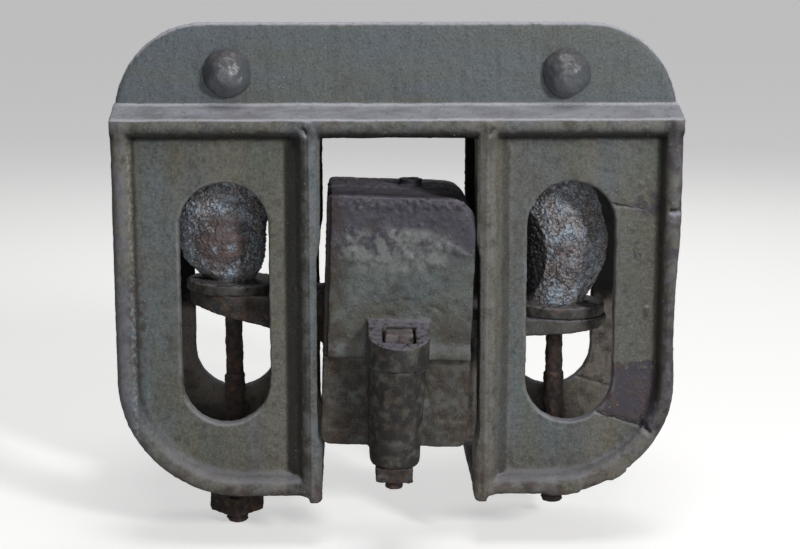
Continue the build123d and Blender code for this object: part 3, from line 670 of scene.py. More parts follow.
@dataclass(frozen=True)
class RustyIron:
    """Wrought iron and steel gone brown, with scale and pits, and more or less of its paint kept."""

    name: str = "rusty_iron"
    brown: Colour = shade(64, 51, 45)
    dark: Colour = shade(36, 31, 30)
    orange: Colour = shade(88, 64, 50)
    dust: Colour = shade(108, 100, 102)
    paint: Colour = shade(79, 83, 87)
    painted: float = 0.0

    def dress(self) -> bpy.types.Material:
        """Makes the material.

        Returns:
            The material.
        """
        coat = Coat(self.name)
        scale = coat.cloud(5, 6, seed=31)
        more = 0.4 * self.painted
        kept = coat.blots(0.62 - more, 0.70 - more, 10, 6, seed=33, warp=0.4)
        coat.ground(coat.band(scale, 0.35, 0.65), self.dark, self.brown)
        coat.lay(self.orange, coat.blots(0.54, 0.68, 9, 7, seed=32))
        coat.lay(self.paint, kept, 0.35 + 0.6 * self.painted)
        coat.lay(self.dust, coat.facing_up(0.2, 0.8), coat.blots(0.3, 0.6, 3, 4, seed=34), 0.6)
        coat.lay(self.dust, Place.KEEP_BOLT_HEAD, coat.band(scale, 0.30, 0.55), 0.6)
        rolls, pits = coat.cloud(6, 4, seed=35), coat.cloud(1.2, 3, seed=36)
        coat.relief((rolls, 0.8), (scale, 0.5), (pits, 0.2), (kept, 0.12))
        return coat.finish(coat.spread(kept, 0, 1, 0.85, 0.34))


@dataclass(frozen=True)
class PerishedRubber:
    """Rubber with remains of blue-grey paint, cracked all over, bare and brown where it rubs."""

    name: str = "perished_rubber"
    paint: Colour = shade(155, 166, 179)
    thin: Colour = shade(146, 140, 140)
    bare: Colour = shade(100, 87, 86)
    rubbed: Colour = shade(74, 66, 67)
    # near-black of the painted shadow on the springs
    sooted: Colour = shade(26, 25, 27)
    crack: Colour = shade(22, 20, 20)
    dust: Colour = shade(150, 148, 150)

    def dress(self) -> bpy.types.Material:
        """Makes the material.

        Returns:
            The material.
        """
        coat = Coat(self.name)
        grain = coat.blots(0.4, 0.65, 5, 5, seed=43, lie=Lie.LEVEL)
        bare = coat.either(Spot.LEFT_BARE, coat.both(Spot.RIGHT_BARE, 0.7))
        bare = coat.both(bare, coat.blots(0.34, 0.5, 9, 5, seed=42))
        # Painted shadow: near-black on the right spring's left side and on the left spring's lower left,
        # where shade falls in the slots.
        shaded = coat.both(coat.near(Spot.RIGHT_SHADED, full=0.86), coat.blots(0.18, 0.30, 6, 4, seed=51))
        painted_shadow = coat.either(shaded, Place.LEFT_SPRING_FOOT)
        crack = self.cracked(coat, bare)
        coat.ground(coat.blots(0.38, 0.6, 14, 5, seed=41), self.paint, self.thin)
        coat.lay(coat.mix(grain, self.bare, self.rubbed), bare)
        coat.lay(self.sooted, painted_shadow, 0.95)
        coat.lay(self.crack, crack, 0.85)
        coat.lay(self.dust, coat.facing_up(0.1, 0.7), coat.blots(0.3, 0.6, 4, 4, seed=46), 0.5)
        coat.relief(
            (crack, -0.9),
            (coat.cloud(2.8, 3, seed=50), 1.2),
            (coat.cloud(4, 5, seed=47), 1.0),
            (grain, 0.3),
            (coat.cloud(1.2, 3, seed=48), 0.5),
        )
        return coat.finish(coat.spread(coat.either(bare, painted_shadow), 0, 1, 0.72, 0.90))

    def cracked(self, coat: Coat, bare: Socket) -> Socket:
        """The long tears, and the fine chaps that the left spring's bare spot is free of.

        Args:
            coat: The material's tree.
            bare: Where the paint is gone.

        Returns:
            The mask.
        """
        middle = coat.maths("SUBTRACT", coat.cloud(13, 5, seed=44, warp=0.5), 0.5)
        tears = coat.band(coat.maths("ABSOLUTE", middle), 0.016, 0.004)
        chaps = coat.band(coat.cells(3.0, "DISTANCE_TO_EDGE", seed=45, warp=0.0026), 0.17, 0.03)
        calm = coat.band(coat.both(bare, Place.LEFT_SPRING), 1.0, 0.5)
        return coat.either(
            coat.both(tears, coat.blots(0.42, 0.56, 20, 2, seed=49)),
            coat.both(chaps, coat.blots(0.36, 0.56, 5, 3, seed=50), calm, 0.80),
        )


@dataclass(frozen=True)
class GreasyPlate:
    """Dark plate iron under grease and dust."""

    name: str = "greasy_plate"
    dark: Colour = shade(58, 56, 54)
    grease: Colour = shade(34, 30, 28)
    rust: Colour = shade(78, 54, 44)
    dust: Colour = shade(120, 116, 118)

    def dress(self) -> bpy.types.Material:
        """Makes the material.

        Returns:
            The material.
        """
        coat = Coat(self.name)
        coat.ground(coat.blots(0.4, 0.62, 9, 6, seed=51), self.dark, self.grease)
        coat.lay(self.rust, coat.blots(0.56, 0.7, 12, 6, seed=52))
        coat.lay(self.dust, coat.facing_up(0.2, 0.8), coat.blots(0.3, 0.55, 4, 4, seed=53), 0.7)
        coat.relief((coat.cloud(7, 5, seed=55), 0.7), (coat.cloud(1.5, 3, seed=56), 0.15))
        return coat.finish(coat.spread(coat.cloud(8, 3, seed=54), 0, 1, 0.4, 0.85))


@dataclass(frozen=True)
class BearingBrass:
    """Dull brass under oil, bright where the journal rubs."""

    name: str = "bearing_brass_oiled"
    brass: Colour = shade(168, 134, 78)
    dull: Colour = shade(92, 72, 46)

    def dress(self) -> bpy.types.Material:
        """Makes the material.

        Returns:
            The material.
        """
        coat = Coat(self.name)
        oil = coat.cloud(12, 6, seed=61)
        scores = coat.cloud(1.6, 3, Lie.LEVEL, seed=62)
        coat.ground(coat.band(oil, 0.38, 0.64), self.brass, self.dull)
        coat.lay(self.dull, coat.band(scores, 0.5, 0.7), 0.4)
        coat.relief((scores, 0.12), (coat.cloud(5, 4, seed=63), 0.2))
        return coat.finish(coat.spread(oil, 0, 1, 0.28, 0.6), metallic=0.9)


@dataclass(frozen=True)
class OilyLeather:
    """Thick leather soaked in oil, with its grain."""

    name: str = "oily_leather"
    brown: Colour = shade(62, 44, 34)
    black: Colour = shade(32, 25, 22)

    def dress(self) -> bpy.types.Material:
        """Makes the material.

        Returns:
            The material.
        """
        coat = Coat(self.name)
        soak = coat.cloud(16, 5, seed=71)
        grain = coat.cells(1.6, "DISTANCE_TO_EDGE", seed=72, warp=0.4)
        coat.ground(coat.band(soak, 0.4, 0.65), self.brown, self.black)
        coat.relief((coat.band(grain, 0.0, 0.12), 0.15), (coat.cloud(9, 4, seed=73), 0.5))
        return coat.finish(coat.spread(soak, 0, 1, 0.45, 0.75))


FINISHES = {
    "guard_paint": GuardPaint(),
    "guard_paint_bolts": RustyIron(name="painted_bolt_iron", painted=0.95),
    "box_paint": BoxPaint(),
    "rusty_steel": RustyIron(),
    "seat_iron": GreasyPlate(),
    "weathered_rubber": PerishedRubber(),
    "bearing_brass": BearingBrass(),
    "shield_leather": OilyLeather(),
}


def placed(name: str, data: bpy.types.ID) -> bpy.types.Object:
    """Makes an object and links it to the scene.

    Args:
        name: The object's name.
        data: Its mesh, lamp or camera.

    Returns:
        The object.
    """
    thing = bpy.data.objects.new(name, data)
    bpy.context.scene.collection.objects.link(thing)
    return thing


def meshed(name: str, shape: bmesh.types.BMesh) -> bpy.types.Mesh:
    """Turns a bmesh into a mesh.

    Args:
        name: The mesh's name.
        shape: The bmesh, freed here.

    Returns:
        The mesh.
    """
    mesh = bpy.data.meshes.new(name)
    shape.to_mesh(mesh)
    shape.free()
    return mesh


class Workshop:
    """Holds the finished materials, dresses the frame's nodes and hangs each new piece on the part."""

    def __init__(self, frame: dict) -> None:
        """Dresses every node of the frame.
        """
        self.materials = {slot: finish.dress() for slot, finish in FINISHES.items()}
        for row in frame["record"]["subparts"]:
            mesh = frame["nodes"][row["node"]].data
            mesh.materials.clear()
            mesh.materials.append(self.materials[row["material_slot"]])
            LOG.info("dressed %s in %s", row["node"], row["material_slot"])

    def hang(self, name: str, shape: bmesh.types.BMesh, slot: str, *instead_of: str) -> None:
        """Makes an object of a finished bmesh, in metres and in place.

        Args:
            name: The piece's name.
            shape: Its mesh, freed here.
            slot: The record's material slot.
            *instead_of: The nodes that it replaces.
        """
        mesh = meshed(name, shape)
        mesh.materials.append(self.materials[slot])
        piece = placed(name, mesh)
        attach(piece, "root")
        if instead_of:
            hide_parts(*instead_of)
        LOG.info("made %s with %d faces", name, len(mesh.polygons))


def passed_through(shape: bmesh.types.BMesh, kind: str, **settings: object) -> bmesh.types.BMesh:
    """Puts a mesh through one modifier.

    Args:
        shape: The mesh, freed here.
        kind: The modifier's type.
        **settings: The modifier's own properties.

    Returns:
        The mesh that comes out.
    """
    mesh = meshed("step", shape)
    holder = placed("step", mesh)
    modifier = holder.modifiers.new("step", kind)
    for key, value in settings.items():
        setattr(modifier, key, value)
    made = bpy.data.meshes.new_from_object(holder.evaluated_get(bpy.context.evaluated_depsgraph_get()))
    result = bmesh.new()
    result.from_mesh(made)
    bpy.data.objects.remove(holder)
    bpy.data.meshes.remove(mesh)
    bpy.data.meshes.remove(made)
    return result


def held(value: float) -> float:
    """A number kept between 0 and 1."""
    return max(0.0, min(1.0, value))


class Grain(Enum):
    """The kinds of unevenness in a cast, forged or rusted face."""

    ROLL = 1
    PIMPLE = 2
    PIT = 3


@dataclass(frozen=True)
class Unevenness:
    """One layer of unevenness: its kind, the size of its bumps and their depth in millimetres."""

    grain: Grain
    size: float
    deep: float
    seed: float = 0.0
    bump_share: float = 0.32
    crowd_size: float = 0.27
    crowd_edge: float = 2.5
    crowd_more: float = 0.3

    def lift(self, place: Vector) -> float:
        """How far the surface rises here.

        Args:
            place: The point, in metres.

        Returns:
            The rise in millimetres.
        """
        where = place * (1 / (self.size * MM)) + Vector((self.seed, self.seed * 0.7, self.seed * 1.3))
        if self.grain is Grain.ROLL:
            return self.deep * noise.noise(where)
        near, _ = noise.voronoi(where)
        bump = max(0.0, 1 - near[0] / self.bump_share)
        if self.grain is Grain.PIT:
            return -self.deep * bump
        crowd = self.crowd_edge * noise.noise(where * self.crowd_size) + self.crowd_more
        return self.deep * bump * held(crowd)


class Face(Enum):
    """The faces that bear marks, and the way that each looks."""

    FRONT = (0.0, -1.0, 0.0)
    TOP = (0.0, 0.0, 1.0)

    def spot(self, place: Vector) -> Vector:
        """A point as (x, z) on the front or as (x, y) on the top, in millimetres."""
        return Vector((place.x, place.z if self is Face.FRONT else place.y)) / MM


@dataclass(frozen=True)
class Mark:
    """A dent, crack, run or nick along a line on one face, from one place to another."""

    start: Pair
    end: Pair
    half_wide: float
    rise: float
    face: Face = Face.FRONT

    def lift(self, place: Vector) -> float:
        """How far the surface rises here.

        Args:
            place: The point, in metres.

        Returns:
            The rise in millimetres.
        """
        here = self.face.spot(place)
        start, end = Vector(self.start), Vector(self.end)
        along = end - start
        share = held((here - start).dot(along) / along.length_squared)
        away = (here - start - along * share).length / self.half_wide
        return 0.0 if away >= 1 else self.rise * (1 - away * away)


@dataclass(frozen=True)
class Crust:
    """Thick old paint left in ragged islands round one place on a face."""

    middle: Pair
    half: Pair
    size: float
    deep: float
    seed: float
    face: Face = Face.FRONT
    ragged: float = 0.35
    fine: float = 2.7
    bare: float = 0.12
    steep: float = 5.0
    fade: float = 4.0

    def lift(self, place: Vector) -> float:
        """How far the surface rises here.

        Args:
            place: The point, in metres.

        Returns:
            The rise in millimetres.
        """
        spot = self.face.spot(place)
        away = math.hypot((spot.x - self.middle[0]) / self.half[0], (spot.y - self.middle[1]) / self.half[1])
        if away >= 1:
            return 0.0
        where = place * (1 / (self.size * MM)) + Vector((self.seed, self.seed, self.seed))
        island = noise.noise(where) + self.ragged * noise.noise(where * self.fine)
        island += self.ragged * (1 - away) - self.bare
        return self.deep * held(island * self.steep) * min(1.0, (1 - away) * self.fade)


@dataclass
class RoughCopy:
    """A closed, finely meshed copy of one solid, uneven as the real face is."""

    node: str
    name: str
    slot: str
    cell: float
    layers: tuple[Unevenness, ...]
    marks: tuple[Mark | Crust, ...] = ()
    kept: float = 0.5
    marked_within: float = 0.3

    def fine(self) -> bmesh.types.BMesh:
        """Merges a copy of the solid, meshes it anew and smooths it.

        Returns:
            The fine mesh.
        """
        merged = bmesh.new()
        merged.from_mesh(bpy.data.objects[self.node].data)
        bmesh.ops.remove_doubles(merged, verts=merged.verts, dist=MERGE)
        voxels = {"mode": "VOXEL", "voxel_size": self.cell * MM, "use_smooth_shade": True}
        shape = passed_through(merged, "REMESH", **voxels)
        ways = {"use_axis_x": True, "use_axis_y": True, "use_axis_z": True}
        bmesh.ops.smooth_vert(shape, verts=shape.verts, factor=0.5, **ways)
        return shape

    def roughen(self, shape: bmesh.types.BMesh) -> None:
        """Moves each point along its normal, and keeps it inside the solid's box.

        Args:
            shape: The fine mesh.
        """
        low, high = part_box(self.node)
        shape.normal_update()
        ups = [vert.normal.copy() for vert in shape.verts]
        for vert, up in zip(shape.verts, ups):
            marks = [mark for mark in self.marks if up.dot(Vector(mark.face.value)) > self.marked_within]
            rise = sum(layer.lift(vert.co) for layer in self.layers)
            rise += sum(mark.lift(vert.co) for mark in marks)
            moved = vert.co + up * rise * MM
            vert.co = Vector([min(max(part, least), most) for part, least, most in zip(moved, low, high)])

    def build(self, shop: Workshop) -> None:
        """Makes the piece.

        Args:
            shop: Where it is hung.
        """
        shape = self.fine()
        self.roughen(shape)
        shop.hang(self.name, passed_through(shape, "DECIMATE", ratio=self.kept), self.slot, self.node)


@dataclass
class GuardCasting(RoughCopy):
    """The guard's casting in three pieces: the flange with the shelf, and a horn with its panel on each side.

    The sizes of its cut, of the worn rim and of the slopes beside the horns' crests are in metres.
    """

    cut_level: float = -0.0575
    wall_x: float = 0.2060
    wall_soft: float = 0.004
    worn_level: float = -0.190
    worn_half: float = 0.085
    worn_in: float = 0.0034
    slope_out: float = 0.0865
    slope_in: float = 0.0675
    slope_top: float = -0.052
    slope_foot: float = -0.322
    slope_front: float = -0.0405
    slope_back: float = -0.0265
    fill_start: float = -0.0280
    fill_rise: float = 0.0122
    top_fade: float = 0.004
    foot_fade: float = 0.012

    def wear_rim(self, shape: bmesh.types.BMesh) -> None:
        """Wears the right rim inwards, most at its middle.

        Args:
            shape: The whole mesh.
        """
        for vert in shape.verts:
            away = abs(vert.co.z - self.worn_level) / self.worn_half
            if vert.co.x > self.wall_x and away < 1:
                share = min(1.0, (vert.co.x - self.wall_x) / self.wall_soft)
                vert.co.x -= self.worn_in * share * (1 - away * away) ** 2

    def fill_slopes(self, shape: bmesh.types.BMesh) -> None:
        """Fills the hollow beside each horn's crest to the nearly flat slope of thick old paint.

        Args:
            shape: The whole mesh.
        """
        for vert in shape.verts:
            share = (self.slope_out - abs(vert.co.x)) / (self.slope_out - self.slope_in)
            on_front = self.slope_front < vert.co.y < self.slope_back
            if 0 < share < 1 and on_front and self.slope_foot < vert.co.z < self.slope_top:
                down = (self.slope_top - vert.co.z) / self.top_fade
                up = (vert.co.z - self.slope_foot) / self.foot_fade
                level = self.fill_start - self.fill_rise * share
                vert.co.y += (min(vert.co.y, level) - vert.co.y) * min(1.0, down, up)

    def half(self, shape: bmesh.types.BMesh, place: Vector, keep: Vector) -> bmesh.types.BMesh:
        """A closed copy of what lies on one side of a plane.

        Args:
            shape: The whole mesh.
            place: A point of the plane.
            keep: The plane's normal, towards what stays.

        Returns:
            The part that stays.
        """
        part = shape.copy()
        everything = [*part.verts, *part.edges, *part.faces]
        plane = {"plane_co": place, "plane_no": -keep, "clear_outer": True}
        cut = bmesh.ops.bisect_plane(part, geom=everything, dist=1e-7, **plane)
        rim = [item for item in cut["geom_cut"] if isinstance(item, bmesh.types.BMEdge)]
        for edge in rim:
            edge.smooth = False
        for face in bmesh.ops.triangle_fill(part, edges=rim, use_beauty=False, use_dissolve=False)["geom"]:
            if isinstance(face, bmesh.types.BMFace):
                face.smooth = False
        return part

    def build(self, shop: Workshop) -> None:
        """Makes the three pieces.

        Args:
            shop: Where they are hung.
        """
        shape = self.fine()
        self.wear_rim(shape)
        self.fill_slopes(shape)
        self.roughen(shape)
        shape = passed_through(shape, "DECIMATE", ratio=self.kept)
        level = Vector((0, 0, self.cut_level))
        shop.hang(f"{self.name}_top", self.half(shape, level, Vector((0, 0, 1))), self.slot, self.node)
        below = self.half(shape, level, Vector((0, 0, -1)))
        for side in Side:
            part = self.half(below, Vector((0, 0, 0)), Vector((side.value, 0, 0)))
            shop.hang(f"{self.name}_horn_{side.word}", part, self.slot, self.node)
        below.free()
        shape.free()


@dataclass(frozen=True)
class Cracks:
    """A net of cracks: cells a metre, the half width as a share of a cell, and the depth in millimetres."""

    fine: float
    wide: float
    deep: float

    def gape(self, place: Vector) -> float:
        """How deep the net is at a point in metres, in millimetres."""
        near, _ = noise.voronoi(place * self.fine)
        return max(0.0, 1 - (near[1] - near[0]) / self.wide) * self.deep


CHAPS = Cracks(285, 0.36, 0.85)
TEARS = Cracks(95, 0.09, 1.2)
SWELLS = ((40, 3.1, 0.9), (140, 0, 0.6), (380, 0, 1.0))  # waves a metre, shift to the side, millimetres


@dataclass
class RubberSpring:
    """One barrel of rubber, dense enough for its cracks and its torn foot.

    Each ring is a share of the height from the top, and the radius and the outward lean there as shares of
    the bulge.
    """

    side: Side
    rings: tuple[tuple[float, float, float], ...]
    bulge: float = 35.5
    bore: float = 8.5
    skin: float = 3.0
    round_share: float = 0.4
    calm_top: float = 9.0
    calm_foot: float = 14.0
    foot_share: float = 0.97
    foot_tilt: float = 2.0
    crack_shift: float = 0.31
    bend: float = 0.0025
    bend_fine: float = 120.0
    slant: float = 0.45
    squash: float = 0.75
    crowd_fine: float = 55.0
    crowd_edge: float = 3.0
    crowd_more: float = 0.25
    steps: int = 340
    rows: int = 180

    def profile(self, share: float) -> Pair:
        """The radius and the outward lean at a share of the height.

        Args:
            share: The share of the height, from the top.

        Returns:
            Both in millimetres.
        """
        for (s0, r0, l0), (s1, r1, l1) in zip(self.rings, self.rings[1:]):
            if share <= s1:
                part = (share - s0) / (s1 - s0)
                part = part * part * (3 - 2 * part) * self.round_share + part * (1 - self.round_share)
                return self.bulge * (r0 + (r1 - r0) * part), self.bulge * (l0 + (l1 - l0) * part)
        return self.bulge * self.rings[-1][1], self.bulge * self.rings[-1][2]

    def build(self, shop: Workshop) -> None:
        """Spins the barrel, bends it and cracks it.

        Args:
            shop: Where it is hung.
        """
        node = f"rubber_spring_{self.side.word}"
        low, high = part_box(node)
        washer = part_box(f"rod_washer_{self.side.word}")
        rod = Vector(((washer[0].x + washer[1].x) / 2, (low.y + high.y) / 2, 0))
        shape = bmesh.new()
        outline = []
        for row in range(self.rows + 1):
            share = row / self.rows
            radius, _ = self.profile(share)
            outline.append(shape.verts.new((rod.x + radius * MM, rod.y, high.z + (low.z - high.z) * share)))
        for level in (low.z, high.z):
            outline.append(shape.verts.new((rod.x + self.bore * MM, rod.y, level)))
        edges = [shape.edges.new(pair) for pair in zip(outline, outline[1:] + outline[:1])]
        turn = {"cent": rod, "axis": (0, 0, 1), "angle": math.tau, "steps": self.steps, "use_merge": True}
        bmesh.ops.spin(shape, geom=outline + edges, **turn)
        bmesh.ops.remove_doubles(shape, verts=shape.verts, dist=MERGE)
        bmesh.ops.recalc_face_normals(shape, faces=shape.faces)
        for face in shape.faces:
            face.smooth = True
        self.wear(shape, rod, low.z, high.z)
        shop.hang(f"perished_{node}", shape, "weathered_rubber", node)

    def wear(self, shape: bmesh.types.BMesh, rod: Vector, low: float, high: float) -> None:
        """Leans the rings, opens the cracks, swells the skin and seats the foot on the cocked arm.

        Args:
            shape: The mesh.
            rod: The rod's place.
            low: The foot's level.
            high: The top's level.
        """
        tilt = math.tan(math.radians(self.foot_tilt))
        for vert in shape.verts:
            share = (high - vert.co.z) / (high - low)
            arm = Vector((vert.co.x - rod.x, vert.co.y - rod.y, 0))
            if arm.length > (self.bore + self.skin) * MM:
                _, lean = self.profile(share)
                calm = min(1.0, share * self.calm_top, (1 - share) * self.calm_foot)
                arm *= 1 + (self.lumps(vert.co) - self.gape(vert.co)) * MM * calm / arm.length
                vert.co.x = rod.x + arm.x + self.side.value * lean * MM
                vert.co.y = rod.y + arm.y
            if share > self.foot_share:
                vert.co.z -= tilt * (vert.co.x - rod.x)

    def gape(self, place: Vector) -> float:
        """How deep the cracks are here.

        Args:
            place: The point, in metres.

        Returns:
            The depth in millimetres.
        """
        away = Vector((self.side.value * self.crack_shift, 0, 0))
        bent = place + self.bend * noise.noise_vector(place * self.bend_fine) + away
        slanted = Vector((bent.x + self.slant * bent.z, bent.y, bent.z * self.squash))
        crowd = self.crowd_edge * noise.noise(place * self.crowd_fine + away) + self.crowd_more
        return CHAPS.gape(slanted) + TEARS.gape(bent) * held(crowd)

    def lumps(self, place: Vector) -> float:
        """How far the barrel swells here.

        Args:
            place: The point, in metres.

        Returns:
            The swelling in millimetres.
        """
        aside = Vector((self.side.value, 0, 0))
        return sum(noise.noise(place * fine + aside * shift) * deep for fine, shift, deep in SWELLS)


@dataclass
class ScrewThread:
    """The helical ridge of a thread on the bare end of a bolt or rod, in millimetres from its middle."""

    name: str
    middle: Vector
    along: Vector
    radius: float
    start: float
    end: float
    pitch: float = 2.6
    deep: float = 0.85
    sunk: float = 0.15
    flank_share: float = 0.42
    run_out: float = 0.5
    steps: int = 28

    def build(self, shop: Workshop) -> None:
        """Spins a three-cornered ridge along the axis.

        Args:
            shop: Where it is hung.
        """
        shape = bmesh.new()
        turns = (self.end - self.start) / self.pitch - self.run_out
        half = self.pitch * self.flank_share
        foot = self.start + half
        points = [(-half, -self.sunk), (0.0, self.deep), (half, -self.sunk)]
        base = [shape.verts.new(((self.radius + out) * MM, 0, (foot + up) * MM)) for up, out in points]
        face = shape.faces.new(base)
        count = int(turns * self.steps)
        rise = (0, 0, turns * self.pitch * MM / count)
        turn = {"cent": (0, 0, 0), "axis": (0, 0, 1), "dvec": rise, "angle": math.tau * turns, "steps": count}
        bmesh.ops.spin(shape, geom=[face, *face.edges, *base], use_merge=False, **turn)
        bmesh.ops.recalc_face_normals(shape, faces=shape.faces)
        for face in shape.faces:
            face.smooth = True
        upright = Vector((0, 0, 1)).rotation_difference(self.along).to_matrix().to_4x4()
        bmesh.ops.transform(shape, matrix=Matrix.Translation(self.middle) @ upright, verts=shape.verts)
        shop.hang(self.name, shape, "rusty_steel")


@dataclass(frozen=True)
class Lamp:
    """A square soft lamp that looks at the part: its side in metres and its power in watts."""

    name: str
    place: tuple[float, float, float]
    size: float
    power: float
    aim: tuple[float, float, float] = (0.0, 0.0, -0.15)

    def hang(self) -> None:
        """Puts the lamp up."""
        lamp = bpy.data.lights.new(self.name, "AREA")
        lamp.size = self.size
        lamp.energy = self.power
        thing = placed(self.name, lamp)
        thing.location = self.place
        thing.rotation_euler = (Vector(self.aim) - Vector(self.place)).to_track_quat("-Z", "Y").to_euler()


LAMPS = (
    Lamp("key", (1.30, -1.90, 0.80), 0.34, 39.0),
    Lamp("top", (0.10, -0.75, 2.10), 0.90, 17.0),
    Lamp("front", (0.00, -2.40, 0.15), 0.60, 9.0),
    Lamp("back", (0.3, 1.6, 1.3), 1.2, 12.0),
)


@dataclass
class Studio:
    """The pale floor, the soft lamps, the dim sky and the camera."""

    lens: float = 74.25
    near_clip: float = 0.05
    place: Vector = field(default_factory=lambda: Vector((-0.0364, -1.2728, 0.0727)))
    down: float = 10.25
    right: float = 1.74
    floor_size: float = 45.0
    floor_back: float = 10.0
    floor_colour: Colour = shade(228, 227, 225)
    floor_dull: Colour = shade(222, 221, 219)
    floor_glow: Colour = shade(255, 255, 255)
    floor_lift: float = 0.48
    sky: Colour = shade(232, 234, 238)
    sky_power: float = 0.05

    def build(self) -> None:
        """Sets everything up round the part."""
        low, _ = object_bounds()
        self.floor(low.z)
        for lamp in LAMPS:
            lamp.hang()
        world = bpy.data.worlds.new("studio_sky")
        world.use_nodes = True
        world.node_tree.nodes["Background"].inputs["Color"].default_value = (*self.sky, 1.0)
        world.node_tree.nodes["Background"].inputs["Strength"].default_value = self.sky_power
        bpy.context.scene.world = world
        camera = placed("camera", bpy.data.cameras.new("camera"))
        camera.data.lens = self.lens
        camera.data.clip_start = self.near_clip
        camera.location = self.place
        camera.rotation_euler = (math.radians(90 - self.down), 0, -math.radians(self.right))
        bpy.context.scene.camera = camera
        bpy.context.scene.view_settings.view_transform = "Standard"

    def floor(self, level: float) -> None:
        """Lays the floor.

        Args:
            level: Its height.
        """
        shape = bmesh.new()
        bmesh.ops.create_grid(shape, x_segments=2, y_segments=2, size=self.floor_size)
        bmesh.ops.translate(shape, vec=(0, self.floor_back, level), verts=shape.verts)
        mesh = meshed("floor", shape)
        coat = Coat("studio_floor")
        speck = coat.cloud(400, 4, seed=91)
        coat.ground(speck, self.floor_colour, self.floor_dull)
        seen = coat.add("ShaderNodeLightPath").outputs["Is Camera Ray"]
        coat.feed(coat.shader.inputs["Emission Color"], self.floor_glow)
        coat.feed(coat.shader.inputs["Emission Strength"], coat.both(seen, self.floor_lift))
        mesh.materials.append(coat.finish(coat.spread(speck, 0, 1, 0.8, 0.9)))
        placed("floor", mesh)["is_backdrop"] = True


CAST = (
    Unevenness(Grain.ROLL, 60, 0.5, 1),
    Unevenness(Grain.ROLL, 16, 0.35, 2),
    Unevenness(Grain.ROLL, 4.6, 0.28, 3),
    Unevenness(Grain.PIMPLE, 6.5, 0.75, 4),
    Unevenness(Grain.PIT, 11, 0.3, 5),
)
FORGED = (
    Unevenness(Grain.ROLL, 13, 1.5, 6),
    Unevenness(Grain.ROLL, 5, 0.7, 7),
    Unevenness(Grain.PIT, 5, 0.5, 8),
)
SCALED = (
    Unevenness(Grain.ROLL, 9, 0.7, 9),
    Unevenness(Grain.ROLL, 3.2, 0.5, 10),
    Unevenness(Grain.PIMPLE, 5, 0.6, 11),
)
PANEL_MARKS = (
    Mark((-66.9, -36.0), (-66.9, -326.0), 1.9, 1.2),
    Mark((66.9, -36.0), (66.9, -326.0), 1.9, 1.2),
    Mark((-60.8, -40.0), (-60.8, -326.0), 4.6, -0.9),
    Mark((60.8, -40.0), (60.8, -326.0), 4.6, -0.9),
    Mark((-201.4, -58.0), (-201.4, -250.0), 1.7, 0.7),
    Mark((-71.5, -40.0), (-69.5, -44.0), 1.8, -2.2),
    Mark((71.5, -40.0), (69.5, -44.0), 1.8, -1.6),
    Mark((164.0, -99.4), (187.0, -101.0), 1.5, -1.2),
    Mark((155.0, -262.3), (192.0, -274.0), 1.5, -1.3),
    Mark((207.5, -102.8), (217.0, -102.4), 2.6, -3.6),
    Mark((190.5, -272.0), (194.0, -276.0), 3.2, -2.6),
    Mark((191.9, -180.0), (192.0, -185.5), 2.4, 1.7),
    Mark((185.4, -83.0), (185.4, -85.5), 2.0, 1.4),
    Mark((190.5, -79.0), (190.8, -80.5), 1.6, 1.1),
    Mark((181.0, -118.0), (181.2, -119.5), 1.5, 1.1),
    Mark((97.0, -102.0), (97.2, -104.0), 1.6, 1.0),
    Mark((94.6, 16.0), (94.9, 12.0), 1.3, 0.8),
    Mark((120.0, -326.0), (139.0, -324.5), 5.5, 1.5),
    Mark((146.0, -322.5), (163.0, -317.0), 4.5, -1.2),
    Mark((168.0, -315.0), (178.0, -309.0), 6.0, 1.8),
    Mark((181.0, -306.0), (184.0, -303.0), 4.0, -2.0),
    Mark((-180.0, -172.0), (-180.0, -174.0), 1.6, 1.0),
)
BOX_MARKS = (
    Crust((-18.0, -129.0), (34.0, 19.0), 15, 1.7, 2.0),
    Crust((28.0, -133.0), (30.0, 15.0), 12, 1.4, 5.0),
    Crust((5.0, -150.0), (52.0, 10.0), 8, 0.5, 8.0),
    Crust((4.0, -97.0), (62.0, 5.5), 4, 1.2, 9.0),
    Crust((4.0, -108.0), (58.0, 8.0), 5, 0.4, 10.0),
    Mark((-19.0, -174.5), (-4.0, -171.0), 1.6, -0.6),
    Mark((2.0, -169.5), (16.0, -171.5), 1.5, -0.6),
    Mark((24.0, -175.0), (33.0, -179.5), 1.6, -0.6),
    Mark((-60.0, 4.0), (60.0, 4.0), 26.0, -2.6, Face.TOP),
    Mark((-60.0, -22.0), (60.0, -22.0), 12.0, -0.8, Face.TOP),
    Crust((0.0, 52.0), (64.0, 24.0), 4.5, 1.2, 11.0, Face.TOP),
    Mark((-60.0, 27.0), (60.0, 27.0), 2.0, -1.2, Face.TOP),
)
KEEP_MARKS = (
    Mark((-52.0, -271.0), (-30.0, -272.0), 4.0, -1.4),
    Mark((30.0, -270.0), (54.0, -272.0), 4.0, 1.2),
    Mark((20.0, -236.0), (26.0, -262.0), 2.0, -0.8),
)
NUTS = ("rod_nut_left", "rod_locknut_left", "rod_nut_right", "keep_nut")
ROUGH_SOLIDS = (
    ("cast", "box_paint", 1.2, CAST, BOX_MARKS, ("axlebox",)),
    ("cast", "box_paint", 1.2, CAST, KEEP_MARKS, ("axlebox_keep",)),
    ("forged", "guard_paint_bolts", 0.9, FORGED, (), ("sill_bolt_left", "sill_bolt_right")),
    ("rusted", "rusty_steel", 0.8, SCALED, (), ("guide_rod_left", "guide_rod_right", *NUTS, "keep_bolt")),
    ("pitted", "seat_iron", 1.1, SCALED, (), ("spring_seat_left", "spring_seat_right")),
)
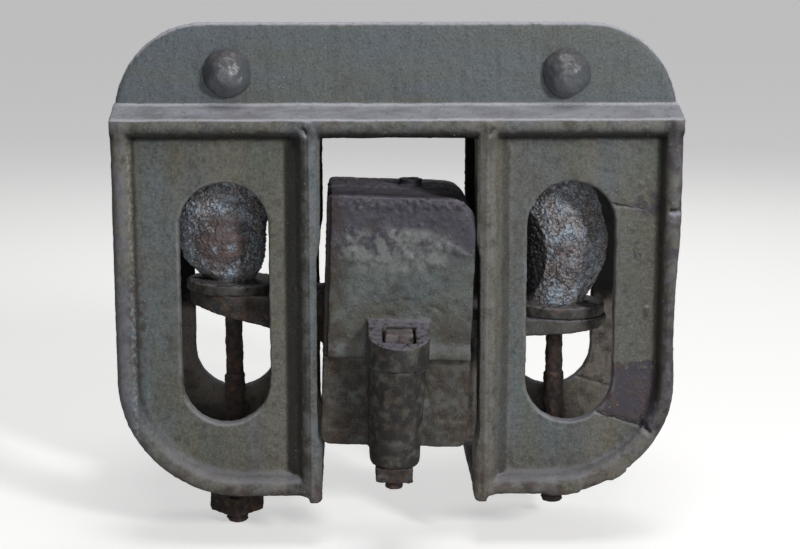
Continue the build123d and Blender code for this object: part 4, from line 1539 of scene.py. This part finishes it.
SPRING_RINGS = {
    Side.LEFT: (
        (0.0, 0.76, 0.04), (0.25, 0.94, 0.13), (0.5, 1.0, 0.2), (0.7, 0.985, 0.22),
        (0.84, 0.9, 0.18), (0.92, 0.74, 0.1), (1.0, 0.5, 0.03),
    ),
    Side.RIGHT: (
        (0.0, 0.66, -0.02), (0.25, 0.74, 0.0), (0.42, 0.93, 0.1), (0.6, 1.0, 0.19),
        (0.75, 0.97, 0.15), (0.86, 0.86, 0.08), (1.0, 0.66, 0.0),
    ),
}
LAST_NUTS = {Side.LEFT: "rod_locknut_left", Side.RIGHT: "rod_nut_right"}
ROD_ROOT_R = 8.2
ROD_BARE_END = 1.2
BOLT_ROOT_R = 8.6
BOLT_BARE_END = 1.0


def threads() -> list[ScrewThread]:
    """The threads on the bare ends of the guide rods and of the sill bolts.

    Returns:
        The threads.
    """
    made = []
    for side, nut in LAST_NUTS.items():
        low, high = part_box(f"guide_rod_{side.word}")
        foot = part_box(nut)[0].z
        middle = Vector(((low.x + high.x) / 2, (low.y + high.y) / 2, foot))
        end = (foot - low.z) / MM - ROD_BARE_END
        name = f"guide_rod_{side.word}_thread"
        made.append(ScrewThread(name, middle, Vector((0, 0, -1)), ROD_ROOT_R, 0.2, end))
    for side in Side:
        low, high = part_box(f"sill_bolt_{side.word}")
        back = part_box(f"sill_nut_{side.word}")[1].y
        middle = Vector(((low.x + high.x) / 2, back, (low.z + high.z) / 2))
        end = (high.y - back) / MM - BOLT_BARE_END
        name = f"sill_bolt_thread_{side.word}"
        made.append(ScrewThread(name, middle, Vector((0, 1, 0)), BOLT_ROOT_R, 0.1, end, pitch=2.0))
    return made


def main() -> None:
    """Builds the pieces in order."""
    logging.basicConfig(level=logging.INFO)
    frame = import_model()
    shop = Workshop(frame)
    GuardCasting("guard", "cast_guard", "guard_paint", 1.4, CAST, PANEL_MARKS).build(shop)
    for word, slot, cell, layers, marks, nodes in ROUGH_SOLIDS:
        for node in nodes:
            RoughCopy(node, f"{word}_{node}", slot, cell, layers, marks).build(shop)
    noise.seed_set(NOISE_SEED)
    for side, rings in SPRING_RINGS.items():
        RubberSpring(side, rings).build(shop)
    for thread in threads():
        thread.build(shop)
    Studio().build()


if __name__ == "__main__":
    main()
